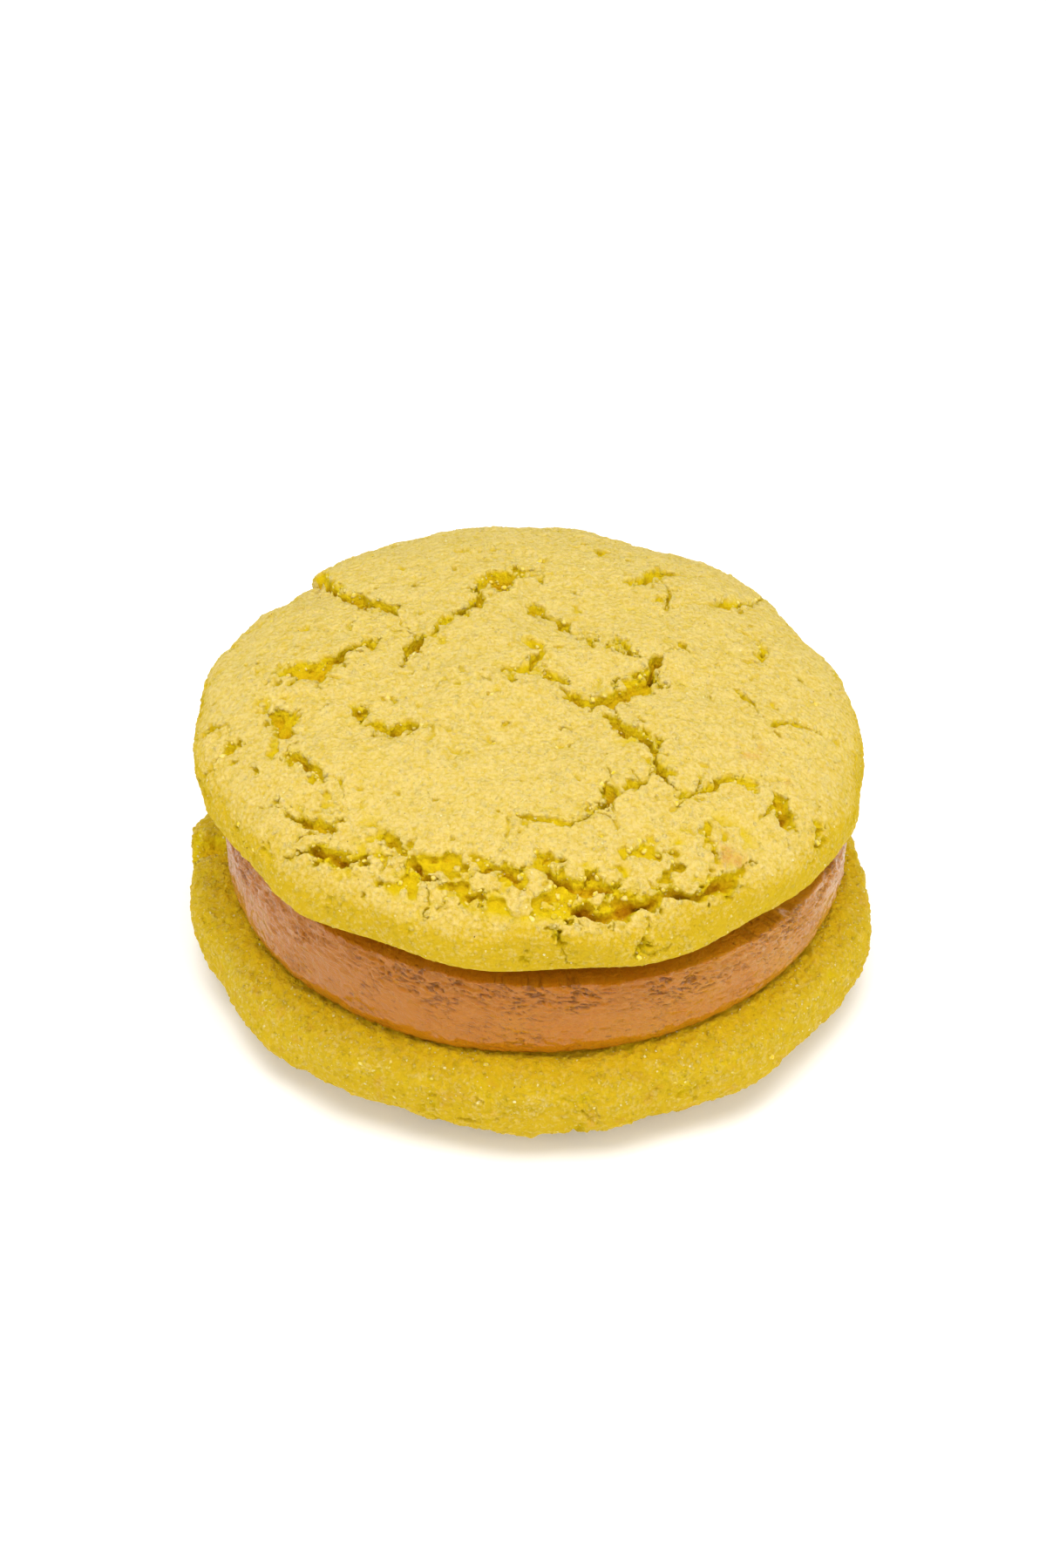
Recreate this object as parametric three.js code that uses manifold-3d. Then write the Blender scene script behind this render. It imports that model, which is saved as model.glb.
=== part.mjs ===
// Fruit-filled sandwich cookie: two thick, round, crackle-topped cookies with a disc of firm fruit jelly
// between them. The top cookie lies with its cracked crown up. The bottom cookie lies the other way round,
// with its flat base up and its crown on the table.
//
// Units are millimetres, +Z is up. The origin is the middle of the footprint, on the surface it stands on.

import * as THREE from "three";
import { mergeVertices } from "three/addons/utils/BufferGeometryUtils.js";
import Module from "manifold-3d";

const wasm = await Module();
wasm.setup();

// Driving dimensions of the stack.
const CONTACT_GAP = 0.3; // left between two pieces that touch
const FILLING_RADIUS = 34.3;
const FILLING_CENTRE = [0, 0.35];
const FILLING_BASE = 12.64; // height of the filling's lower face
const FILLING_THICKNESS = 9.8; // in the middle
const TOP_SLOPE = -0.045; // the filling's top and the top cookie fall by this much for each mm towards +X
const STACK_CENTRE = [0.9, -0.3]; // where the stack stands, so that its uneven footprint's middle is the origin

// Each cookie's half-outline is two quarter superellipses that meet at its widest ring. A higher power
// gives a flatter face and a squarer shoulder.
const TOP_COOKIE = {
  centre: [-0.55, 0.75],
  radius: 36.5,
  crown: 9.8, // rise from the ring to the top of the crown
  crownPower: 2.7,
  heel: 4, // drop from the ring to the underside
  heelPower: 3,
  slope: TOP_SLOPE,
  triangleRows: 12,
};
TOP_COOKIE.ringHeight = FILLING_BASE + FILLING_THICKNESS + CONTACT_GAP + TOP_COOKIE.heel;

const BOTTOM_COOKIE = {
  centre: [0, 0],
  radius: 37.5,
  crown: 5,
  crownPower: 5,
  heel: 7.45,
  heelPower: 3,
  slope: 0,
  ringHeight: 7.34,
  triangleRows: 10,
};

// Where the outlines swell or shrink: direction in degrees from +X, half-width in degrees, and height in mm.
const TOP_BULGES = [
  { azimuth: 24, spread: 12, height: -0.8 },
  { azimuth: 46, spread: 8, height: 0.5 },
  { azimuth: 78, spread: 8, height: 0.5 },
  { azimuth: 110, spread: 9, height: 0.4 },
  { azimuth: 144, spread: 4, height: -1 },
  { azimuth: 152, spread: 12, height: -0.9 },
  { azimuth: 187, spread: 14, height: 0.7 },
];
const BOTTOM_BULGES = [
  { azimuth: -80, spread: 6, height: 0.5 },
  { azimuth: -50, spread: 16, height: 0.4 },
  { azimuth: 14, spread: 15, height: -1.5 },
  { azimuth: 168, spread: 8, height: 1.6 },
  { azimuth: 184, spread: 8, height: 1.2 },
];

// Cracks in the top cookie's crown. A path runs over the crown as if it were peeled flat: [x, y] in mm, where
// the distance from [0, 0] is the way along the surface from the middle of the crown. Width and depth in mm.
const CROWN_CRACKS = [
  // upper left, in from the notch in the rim
  { path: [[-25.5, 25], [-24, 21.5], [-22, 17]], width: 1.7, depth: 1.8 },
  { path: [[-22.3, 17.7], [-19.5, 14.8], [-17, 14], [-15.4, 11.3]], width: 2.1, depth: 2.4 },
  // long crack across the back
  { path: [[-0.5, 20], [-2.5, 18.3], [-4.7, 17.2], [-5.4, 15.2]], width: 1.6, depth: 2.2 },
  { path: [[-5, 14.6], [-6, 12.3], [-8, 10.5]], width: 1.3, depth: 2 },
  { path: [[-8.3, 10.2], [-10.5, 8], [-12.3, 7.6]], width: 0.8, depth: 1.2 },
  { path: [[-12.4, 7.9], [-13, 6], [-13.8, 3.8]], width: 1.5, depth: 2.3 },
  // left side
  { path: [[-18.5, 6.8], [-20, 4.8], [-21.6, 1.9]], width: 1.3, depth: 2 },
  { path: [[-26.2, 0.6], [-24, 0.5], [-22.4, -1]], width: 3.6, depth: 1.9 },
  { path: [[-19, -5.3], [-18.3, -7.6]], width: 1.1, depth: 1.1 },
  { path: [[-17.2, -8.2], [-15, -9.5], [-11.4, -9]], width: 1.4, depth: 1.9 },
  { path: [[-27.6, -5.3], [-26, -7], [-25.9, -9.9]], width: 2, depth: 1.5 },
  { path: [[-36, -5.5], [-32.5, -5.8]], width: 0.8, depth: 0.8 },
  { path: [[-33, -9.8], [-30.4, -8.7]], width: 1.2, depth: 1 },
  { path: [[-26, -12.5], [-24, -13.5], [-23, -15.5], [-21.2, -16.3]], width: 1.4, depth: 1.5 },
  // middle
  { path: [[-0.5, 13.6], [1.5, 11.7], [4.6, 9.2]], width: 1.3, depth: 1.7 },
  { path: [[5.2, 7.7], [7.4, 6.8]], width: 0.9, depth: 1.2 },
  { path: [[9, 6.9], [10, 6], [10.9, 4.1]], width: 1, depth: 1.3 },
  { path: [[14.4, 4.7], [13, 1.5], [12.8, -0.4]], width: 1.5, depth: 2.4 },
  { path: [[12.9, -0.2], [10.5, -2.8], [7.3, -4.5]], width: 2.8, depth: 2.4 },
  { path: [[8.2, -5], [6, -3.8], [3.4, -3.1]], width: 1.8, depth: 1.6 },
  { path: [[0.2, 5.6], [0.8, 3], [-0.4, 1], [-2.8, -0.8]], width: 1.2, depth: 1.1 },
  { path: [[0.9, 0.1], [4.5, -0.7]], width: 1.3, depth: 1.3 },
  { path: [[9, -6.4], [9.3, -8.5], [11.3, -9.5], [12.6, -11.6]], width: 1.6, depth: 2.4 },
  { path: [[12.4, -10.9], [13, -14], [13.9, -16.4]], width: 1.3, depth: 2.3 },
  // right side
  { path: [[11.4, 17.9], [13, 20], [14.3, 22], [17, 22]], width: 1.4, depth: 1.4 },
  { path: [[15.2, 19.2], [14.8, 13.8]], width: 0.8, depth: 0.8 },
  { path: [[19.8, 16.8], [23, 17.8], [26.6, 20.7]], width: 1.2, depth: 1.1 },
  { path: [[26.5, 10.2], [26, 6.3]], width: 0.9, depth: 0.9 },
  { path: [[22.6, 0.4], [24.3, -2.2]], width: 0.9, depth: 0.8 },
  { path: [[25.9, -5.1], [28.5, -4], [30.4, -3.6]], width: 1.1, depth: 1.1 },
  { path: [[26.2, -15.8], [27.5, -18], [28, -20.2]], width: 1.7, depth: 2 },
  // front
  { path: [[11.7, -16.2], [9.7, -18.4]], width: 1.2, depth: 1.3 },
  { path: [[8, -17.7], [8.4, -19.4], [7.2, -21.2]], width: 1.4, depth: 2.2 },
  { path: [[7.4, -20.9], [5, -23.3], [2, -23.4], [-1.7, -23]], width: 0.9, depth: 1 },
  { path: [[16.2, -18.4], [19, -16.8], [20.5, -15.2], [24.5, -14.7]], width: 1, depth: 1.1 },
  { path: [[-26, -20.2], [-23.5, -22.3], [-20.3, -24.1]], width: 1.2, depth: 1.5 },
  { path: [[-24.7, -25.6], [-21.5, -26.7], [-19.5, -28], [-16.8, -27.1]], width: 1.5, depth: 2.1 },
  { path: [[-15.4, -24.9], [-14.3, -26.7], [-12.9, -27.8]], width: 1.1, depth: 1.2 },
  { path: [[-12.6, -27.9], [-11.3, -29.5], [-10.9, -31.5]], width: 1.4, depth: 1.8 },
  { path: [[-5.2, -29.5], [-2.5, -30], [-0.4, -32.2]], width: 1.6, depth: 1.6 },
  { path: [[-7.7, -33.3], [-4.8, -33]], width: 1.5, depth: 1.3 },
  // crumbly break along the front shoulder, and two nicks below it
  { path: [[1.6, -28.5], [2.8, -30.8], [6, -31.5], [9.1, -32]], width: 1.6, depth: 2 },
  { path: [[3.8, -33.9], [8, -34.3], [11, -33.3], [14.2, -31.2]], width: 2, depth: 2.3 },
  { path: [[13.8, -31.1], [17.5, -31.3], [20, -29.5], [22.9, -26.6]], width: 1.5, depth: 1.9 },
  { path: [[3, -36.2], [3.4, -38.7]], width: 1, depth: 1.1 },
  { path: [[12.4, -35.7], [12.9, -38.1]], width: 1.3, depth: 1.4 },
];

// The bottom cookie's upper face is its smooth base, torn at the left edge and nicked at the front.
const BASE_CRACKS = [
  { path: [[-45, 3.4], [-41, 3], [-37.5, 2.7], [-33.5, 2.2]], width: 3.8, depth: 2.6 },
  { path: [[-45, -6.2], [-42, -5.5], [-40, -5]], width: 1.2, depth: 1 },
  { path: [[4.6, -46], [5, -43.5], [5.2, -41]], width: 1.4, depth: 0.9 },
];

// Its crown, which faces the table, has the crown cracks too, turned over and round, but none close to the
// spot that it rests on or up on its rim.
const UNDERSIDE_TURN = THREE.MathUtils.degToRad(140);
const UNDERSIDE_CLEAR = 19; // mm round the middle of the crown
const UNDERSIDE_REACH = 34; // mm from the middle of the crown

// A crack is cut as a trough with a narrower floor, thinner at its ends, and no two stretches quite alike.
const CRACK_STEP = 2.2; // length of one stretch
const CRACK_CLEAR = 0.6; // how far the cutter stands above the surface
const CRACK_FLOOR = 0.45; // floor width as a share of the width
const CRACK_END = 0.3; // width and depth at the two ends, as shares
const CRACK_UNEVEN = 0.4; // random change of width and depth, as a share
const CRACK_WANDER = 0.35; // random sideways shift, mm

// Gentle hand-made unevenness of the faces and of the jelly's wall.
const DOUGH_WAVES = { count: 16, shortest: 7, longest: 24, height: 0.11 };
const JELLY_WAVES = { count: 10, shortest: 5, longest: 14, height: 0.05 };
const FILLING_SIDES = 96;
const FILLING_TIERS = 5;
const FILLING_EDGE = 0.8; // how far the jelly's lower edge is drawn in

const OUTLINE_STEPS = 240;
const NUDGE = 0.05; // mm, for measuring a surface's direction

function seededRandom(seed) {
  let state = seed;
  return () => {
    state = (state * 1664525 + 1013904223) % 4294967296;
    return state / 4294967296;
  };
}

// Random waves in space. Added up, they give a smooth unevenness with no seam.
function makeWaves({ count, shortest, longest, height }, random) {
  const waves = [];
  for (let i = 0; i < count; i += 1) {
    const heading = new THREE.Vector3(random() - 0.5, random() - 0.5, random() - 0.5).normalize();
    const length = shortest + (longest - shortest) * random();
    waves.push({ ripple: heading.multiplyScalar(2 * Math.PI / length), phase: 2 * Math.PI * random(), height });
  }
  return waves;
}

function waveHeight(waves, point) {
  return waves.reduce((sum, wave) => sum + wave.height * Math.sin(wave.ripple.dot(point) + wave.phase), 0);
}

// A cookie's half-outline from the middle of its upper face, out over the ring and back underneath, with the
// length of surface and the share of the whole area covered so far.
function halfOutline(cookie) {
  const outline = [];
  let length = 0;
  let area = 0;
  for (let step = 0; step <= OUTLINE_STEPS; step += 1) {
    const angle = Math.PI * (0.5 - step / OUTLINE_STEPS);
    const upper = angle > 0;
    const power = 2 / (upper ? cookie.crownPower : cookie.heelPower);
    const reach = upper ? cookie.crown : -cookie.heel;
    const radius = cookie.radius * Math.max(Math.cos(angle), 0) ** power;
    const height = cookie.ringHeight + reach * Math.abs(Math.sin(angle)) ** power;
    if (step > 0) {
      const last = outline[step - 1];
      const stretch = Math.hypot(radius - last.radius, height - last.height);
      length += stretch;
      area += stretch * (radius + last.radius) / 2;
    }
    outline.push({ radius, height, length, area });
  }
  return outline;
}

// The outline's radius and height where its "length" or "area" reaches a value.
function outlineAt(outline, measure, value) {
  let next = outline.findIndex((entry) => entry[measure] >= value);
  next = next < 1 ? (next < 0 ? outline.length - 1 : 1) : next;
  const before = outline[next - 1];
  const after = outline[next];
  const share = (value - before[measure]) / (after[measure] - before[measure]);
  return {
    radius: THREE.MathUtils.lerp(before.radius, after.radius, share),
    height: THREE.MathUtils.lerp(before.height, after.height, share),
  };
}

function bulgeAt(bulges, azimuth) {
  return bulges.reduce((sum, bulge) => {
    const away = THREE.MathUtils.euclideanModulo(azimuth - bulge.azimuth + 180, 360) - 180;
    return sum + bulge.height * Math.exp(-((away / bulge.spread) ** 2));
  }, 0);
}

// A point of the cookie in the part's frame, from a direction in radians and a place on the half-outline.
function placeOnCookie(cookie, bulges, direction, { radius, height }) {
  const swell = 1 + bulgeAt(bulges, THREE.MathUtils.radToDeg(direction)) / cookie.radius;
  const x = cookie.centre[0] + swell * radius * Math.cos(direction);
  const y = cookie.centre[1] + swell * radius * Math.sin(direction);
  return new THREE.Vector3(x, y, height + cookie.slope * x);
}

// The whole cookie without its cracks: an icosphere drawn out to the cookie's outline, so that every
// triangle covers about the same area.
function cookieBody(cookie, bulges, waves) {
  const outline = halfOutline(cookie);
  const wholeArea = outline[outline.length - 1].area;
  const geometry = new THREE.IcosahedronGeometry(1, cookie.triangleRows);
  const places = geometry.attributes.position;
  const place = new THREE.Vector3();
  for (let i = 0; i < places.count; i += 1) {
    place.fromBufferAttribute(places, i).normalize();
    const direction = Math.atan2(place.y, place.x);
    const share = THREE.MathUtils.clamp((1 - place.z) / 2, 0, 1);
    const point = placeOnCookie(cookie, bulges, direction, outlineAt(outline, "area", share * wholeArea));
    const middle = new THREE.Vector3(cookie.centre[0], cookie.centre[1], cookie.ringHeight);
    const outward = point.clone().sub(middle).normalize();
    point.addScaledVector(outward, waveHeight(waves, point));
    places.setXYZ(i, point.x, point.y, Math.max(point.z, 0));
  }
  return geometry;
}

// The surface point and outward normal at a place on a face peeled flat: the upper face where side is 1, the
// lower one where it is -1.
function peeledPlace(cookie, bulges, outline, side, x, y) {
  const wholeLength = outline[outline.length - 1].length;
  const at = (u, v) => {
    const reach = Math.hypot(u, v);
    const spot = outlineAt(outline, "length", side > 0 ? reach : wholeLength - reach);
    return placeOnCookie(cookie, bulges, Math.atan2(v, u), spot);
  };
  const point = at(x, y);
  const alongX = at(x + NUDGE, y).sub(point);
  const alongY = at(x, y + NUDGE).sub(point);
  return { point, normal: alongX.cross(alongY).normalize().multiplyScalar(side) };
}

// Closed geometry through a row of four-cornered sections, with both ends capped.
function loftSections(sections) {
  const corners = sections[0].length;
  const triangles = [0, 1, 2, 0, 2, 3];
  for (let row = 0; row < sections.length - 1; row += 1) {
    for (let side = 0; side < corners; side += 1) {
      const a = row * corners + side;
      const b = row * corners + (side + 1) % corners;
      triangles.push(b, a, a + corners, b, a + corners, b + corners);
    }
  }
  const last = (sections.length - 1) * corners;
  triangles.push(last, last + 2, last + 1, last, last + 3, last + 2);
  const geometry = new THREE.BufferGeometry().setFromPoints(sections.flat());
  geometry.setIndex(triangles);
  return geometry;
}

// The crown cracks as the underside has them.
function undersideCracks() {
  const cos = Math.cos(UNDERSIDE_TURN);
  const sin = Math.sin(UNDERSIDE_TURN);
  const isClear = ([x, y]) => Math.hypot(x, y) > UNDERSIDE_CLEAR && Math.hypot(x, y) < UNDERSIDE_REACH;
  return CROWN_CRACKS.filter(({ path }) => path.every(isClear)).map(({ path, width, depth }) => {
    const turned = path.map(([x, y]) => [cos * x + sin * y, sin * x - cos * y]);
    return { path: turned, width, depth, side: -1 };
  });
}

// The cutter of one crack.
function crackCutter(cookie, bulges, outline, crack, random) {
  const side = crack.side ?? 1;
  const line = new THREE.CatmullRomCurve3(crack.path.map(([x, y]) => new THREE.Vector3(x, y, 0)));
  const stretches = Math.max(2, Math.round(line.getLength() / CRACK_STEP));
  const sections = line.getSpacedPoints(stretches).map((spot, i) => {
    const heading = line.getTangentAt(i / stretches);
    const across = new THREE.Vector2(heading.y, -heading.x).multiplyScalar(side);
    const isEnd = i === 0 || i === stretches;
    const taper = isEnd ? CRACK_END : 1;
    const halfWidth = crack.width / 2 * taper * (1 + CRACK_UNEVEN * (random() - 0.5));
    const depth = crack.depth * taper * (1 + CRACK_UNEVEN * (random() - 0.5));
    const shift = isEnd ? 0 : CRACK_WANDER * (random() - 0.5);
    const corner = (aside, lift) => {
      const reach = shift + aside;
      const x = spot.x + across.x * reach;
      const y = spot.y + across.y * reach;
      const { point, normal } = peeledPlace(cookie, bulges, outline, side, x, y);
      return point.addScaledVector(normal, lift);
    };
    return [
      corner(-halfWidth, CRACK_CLEAR),
      corner(-halfWidth * CRACK_FLOOR, -depth),
      corner(halfWidth * CRACK_FLOOR, -depth),
      corner(halfWidth, CRACK_CLEAR),
    ];
  });
  return loftSections(sections);
}

function solidFrom(geometry) {
  geometry.deleteAttribute("normal");
  geometry.deleteAttribute("uv");
  const merged = mergeVertices(geometry);
  return new wasm.Manifold(new wasm.Mesh({
    numProp: 3,
    vertProperties: new Float32Array(merged.attributes.position.array),
    triVerts: new Uint32Array(merged.index.array),
  }));
}

function geometryFrom(solid) {
  const mesh = solid.getMesh();
  const geometry = new THREE.BufferGeometry();
  geometry.setAttribute("position", new THREE.BufferAttribute(mesh.vertProperties, mesh.numProp));
  geometry.setIndex(new THREE.BufferAttribute(mesh.triVerts, 1));
  geometry.computeVertexNormals();
  return geometry;
}

function crackedCookie(cookie, bulges, cracks, seed) {
  const random = seededRandom(seed);
  const waves = makeWaves(DOUGH_WAVES, random);
  const outline = halfOutline(cookie);
  const body = solidFrom(cookieBody(cookie, bulges, waves));
  const cutters = cracks.map((crack) => solidFrom(crackCutter(cookie, bulges, outline, crack, random)));
  const cut = cutters.reduce((rest, cutter) => rest.subtract(cutter), body);
  return geometryFrom(cut);
}

// The jelly: a cut disc with a lightly wavy wall and a top that follows the top cookie's slope.
function fillingDisc(seed) {
  const waves = makeWaves(JELLY_WAVES, seededRandom(seed));
  const geometry = new THREE.CylinderGeometry(
    FILLING_RADIUS, FILLING_RADIUS, FILLING_THICKNESS, FILLING_SIDES, FILLING_TIERS);
  geometry.rotateX(Math.PI / 2);
  geometry.translate(0, 0, FILLING_BASE + FILLING_THICKNESS / 2);
  const places = geometry.attributes.position;
  const point = new THREE.Vector3();
  for (let i = 0; i < places.count; i += 1) {
    point.fromBufferAttribute(places, i);
    const rise = (point.z - FILLING_BASE) / FILLING_THICKNESS;
    const radius = Math.hypot(point.x, point.y);
    const drawnIn = FILLING_EDGE * (1 - Math.min(1, rise * FILLING_TIERS));
    const grown = radius > 0 ? 1 + (waveHeight(waves, point) - drawnIn) / radius : 1;
    places.setXYZ(i, point.x * grown, point.y * grown, point.z + rise * TOP_SLOPE * point.x);
  }
  geometry.translate(FILLING_CENTRE[0], FILLING_CENTRE[1], 0);
  return geometryFrom(solidFrom(geometry));
}

const dough = { roughness: 0.85, metalness: 0 };
const topDough = new THREE.MeshStandardMaterial({ color: 0xf0d25a, ...dough });
const bottomDough = new THREE.MeshStandardMaterial({ color: 0xe2be42, ...dough });
const jelly = new THREE.MeshStandardMaterial({ color: 0xbf7a30, roughness: 0.3, metalness: 0 });

const cookie = new THREE.Group();
cookie.position.set(STACK_CENTRE[0], STACK_CENTRE[1], 0);

function addPiece(name, geometry, material) {
  const piece = new THREE.Mesh(geometry, material);
  piece.name = name;
  cookie.add(piece);
}

const bottomCracks = [...BASE_CRACKS, ...undersideCracks()];
addPiece("cookie_bottom", crackedCookie(BOTTOM_COOKIE, BOTTOM_BULGES, bottomCracks, 12), bottomDough);
addPiece("fruit_filling", fillingDisc(7), jelly);
addPiece("cookie_top", crackedCookie(TOP_COOKIE, TOP_BULGES, CROWN_CRACKS, 5), topDough);

export default cookie;
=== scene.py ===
"""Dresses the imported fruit-filled cookie: crackled yellow dough, amber jelly, sugar grains and a white studio.

Blender works in metres. The dough and the jelly are worked out in millimetres, in the stack's own frame, whose
axis runs up through the middle of the jelly, and are moved and scaled when they become meshes.
"""

import math

import bpy
import numpy as np
from bpy.props import FloatProperty, FloatVectorProperty, IntProperty, PointerProperty
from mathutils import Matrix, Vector


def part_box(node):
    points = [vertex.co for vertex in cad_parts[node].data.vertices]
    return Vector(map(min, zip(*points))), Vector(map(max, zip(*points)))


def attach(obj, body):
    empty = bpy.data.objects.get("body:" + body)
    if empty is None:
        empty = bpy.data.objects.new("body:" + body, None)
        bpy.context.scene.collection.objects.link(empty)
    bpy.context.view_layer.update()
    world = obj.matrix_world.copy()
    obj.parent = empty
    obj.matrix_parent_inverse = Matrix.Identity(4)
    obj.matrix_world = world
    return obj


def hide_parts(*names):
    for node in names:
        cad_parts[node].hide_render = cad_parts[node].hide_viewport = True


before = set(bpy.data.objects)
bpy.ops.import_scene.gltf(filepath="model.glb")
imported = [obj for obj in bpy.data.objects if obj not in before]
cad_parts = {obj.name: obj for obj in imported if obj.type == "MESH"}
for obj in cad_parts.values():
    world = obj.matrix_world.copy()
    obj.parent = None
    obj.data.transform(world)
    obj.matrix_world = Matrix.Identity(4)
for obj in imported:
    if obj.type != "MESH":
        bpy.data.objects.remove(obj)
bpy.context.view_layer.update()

bl_info = {
    "name": "Fruit-filled Cookie",
    "version": (1, 0, 0),
    "blender": (4, 5, 0),
    "location": "3D View > Sidebar > Cookie",
    "description": "Crackled sandwich cookie with a fruit jelly filling, and a white studio round it",
    "category": "Add Mesh",
}

MM = 0.001
BODY = "root"

# The stack, in millimetres.
STACK_CENTRE = np.array([0.9, -0.3, 0.0])  # where the stack's axis stands in the part's frame
FILLING_TOP = 22.44  # height of the jelly's upper face at the axis
TOP_SLOPE = -0.045  # the jelly's top and the top cookie fall by this much for each mm towards +X
CONTACT = 0.3  # the solids stand this far apart where the real pieces touch

# Each cookie's half-outline is two quarter superellipses that meet at its widest ring.
TOP_SHAPE = {
    "centre": (-0.55, 0.75),
    "crown": 9.8,
    "crown_power": 2.7,
    "heel": 4.0,
    "heel_power": 3.0,
    "slope": TOP_SLOPE,
    "ring_height": FILLING_TOP + CONTACT + 4.0,
    "wave_seed": 5,
    # direction in degrees from +X, half-width in degrees, height in mm
    "bulges": [
        (24, 12, -0.8), (46, 8, 0.5), (78, 8, 0.5), (110, 9, 0.4), (144, 4, -1.0), (152, 12, -0.9),
        (187, 14, 0.7),
    ],
}
BOTTOM_SHAPE = {
    "centre": (0.0, 0.0),
    "crown": 5.0,
    "crown_power": 5.0,
    "heel": 7.45,
    "heel_power": 3.0,
    "slope": 0.0,
    "ring_height": 7.34,
    "wave_seed": 12,
    "bulges": [(-80, 6, 0.5), (-50, 16, 0.4), (14, 15, -1.5), (168, 8, 1.6), (184, 8, 1.2)],
}
OUTLINE_STEPS = 3000
NET_TOP_SEED, NET_BOTTOM_SEED = 101, 102
WAVES = {"count": 16, "shortest": 7.0, "longest": 24.0, "height": 0.11}

# Cracks run over a cookie's upper face as if it were peeled flat: [x, y] in mm, where the distance from [0, 0]
# is the way along the surface from the middle of the face. Each is (path, width, depth).
CROWN_CRACKS = [
    # upper left, in from the notch in the rim
    ([(-25.5, 25), (-24, 21.5), (-22, 17)], 1.7, 1.8),
    ([(-22.3, 17.7), (-19.5, 14.8), (-17, 14), (-15.4, 11.3)], 2.1, 2.4),
    # long crack across the back
    ([(-0.5, 20), (-2.5, 18.3), (-4.7, 17.2), (-5.4, 15.2)], 1.6, 2.2),
    ([(-5, 14.6), (-6, 12.3), (-8, 10.5)], 1.3, 2.0),
    ([(-8.3, 10.2), (-10.5, 8), (-12.3, 7.6)], 0.8, 1.2),
    ([(-12.4, 7.9), (-13, 6), (-13.8, 3.8)], 1.5, 2.3),
    # left side
    ([(-18.5, 6.8), (-20, 4.8), (-21.6, 1.9)], 1.3, 2.0),
    ([(-26.2, 0.6), (-24, 0.5), (-22.4, -1)], 3.6, 1.9),
    ([(-19, -5.3), (-18.3, -7.6)], 1.1, 1.1),
    ([(-17.2, -8.2), (-15, -9.5), (-11.4, -9)], 1.4, 1.9),
    ([(-27.6, -5.3), (-26, -7), (-25.9, -9.9)], 2.0, 1.5),
    ([(-36, -5.5), (-32.5, -5.8)], 0.8, 0.8),
    ([(-33, -9.8), (-30.4, -8.7)], 1.2, 1.0),
    ([(-26, -12.5), (-24, -13.5), (-23, -15.5), (-21.2, -16.3)], 1.4, 1.5),
    # middle
    ([(-0.5, 13.6), (1.5, 11.7), (4.6, 9.2)], 1.3, 1.7),
    ([(5.2, 7.7), (7.4, 6.8)], 0.9, 1.2),
    ([(9, 6.9), (10, 6), (10.9, 4.1)], 1.0, 1.3),
    ([(14.4, 4.7), (13, 1.5), (12.8, -0.4)], 1.5, 2.4),
    ([(12.9, -0.2), (10.5, -2.8), (7.3, -4.5)], 2.8, 2.4),
    ([(8.2, -5), (6, -3.8), (3.4, -3.1)], 1.8, 1.6),
    ([(0.2, 5.6), (0.8, 3), (-0.4, 1), (-2.8, -0.8)], 1.2, 1.1),
    ([(0.9, 0.1), (4.5, -0.7)], 1.3, 1.3),
    ([(9, -6.4), (9.3, -8.5), (11.3, -9.5), (12.6, -11.6)], 1.6, 2.4),
    ([(12.4, -10.9), (13, -14), (13.9, -16.4)], 1.3, 2.3),
    # right side
    ([(11.4, 17.9), (13, 20), (14.3, 22), (17, 22)], 1.4, 1.4),
    ([(15.2, 19.2), (14.8, 13.8)], 0.8, 0.8),
    ([(19.8, 16.8), (23, 17.8), (26.6, 20.7)], 1.2, 1.1),
    ([(26.5, 10.2), (26, 6.3)], 0.9, 0.9),
    ([(22.6, 0.4), (24.3, -2.2)], 0.9, 0.8),
    ([(25.9, -5.1), (28.5, -4), (30.4, -3.6)], 1.1, 1.1),
    ([(26.2, -15.8), (27.5, -18), (28, -20.2)], 1.7, 2.0),
    # front
    ([(11.7, -16.2), (9.7, -18.4)], 1.2, 1.3),
    ([(8, -17.7), (8.4, -19.4), (7.2, -21.2)], 1.4, 2.2),
    ([(7.4, -20.9), (5, -23.3), (2, -23.4), (-1.7, -23)], 0.9, 1.0),
    ([(16.2, -18.4), (19, -16.8), (20.5, -15.2), (24.5, -14.7)], 1.0, 1.1),
    ([(-26, -20.2), (-23.5, -22.3), (-20.3, -24.1)], 1.2, 1.5),
    ([(-24.7, -25.6), (-21.5, -26.7), (-19.5, -28), (-16.8, -27.1)], 1.5, 2.1),
    ([(-15.4, -24.9), (-14.3, -26.7), (-12.9, -27.8)], 1.1, 1.2),
    ([(-12.6, -27.9), (-11.3, -29.5), (-10.9, -31.5)], 1.4, 1.8),
    ([(-5.2, -29.5), (-2.5, -30), (-0.4, -32.2)], 1.6, 1.6),
    ([(-7.7, -33.3), (-4.8, -33)], 1.5, 1.3),
    # crumbly break along the front shoulder, and two nicks below it
    ([(1.6, -28.5), (2.8, -30.8), (6, -31.5), (9.1, -32)], 1.6, 2.0),
    ([(3.8, -33.9), (8, -34.3), (11, -33.3), (14.2, -31.2)], 2.0, 2.3),
    ([(13.8, -31.1), (17.5, -31.3), (20, -29.5), (22.9, -26.6)], 1.5, 1.9),
    ([(3, -36.2), (3.4, -38.7)], 1.0, 1.1),
    ([(12.4, -35.7), (12.9, -38.1)], 1.3, 1.4),
]
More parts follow.
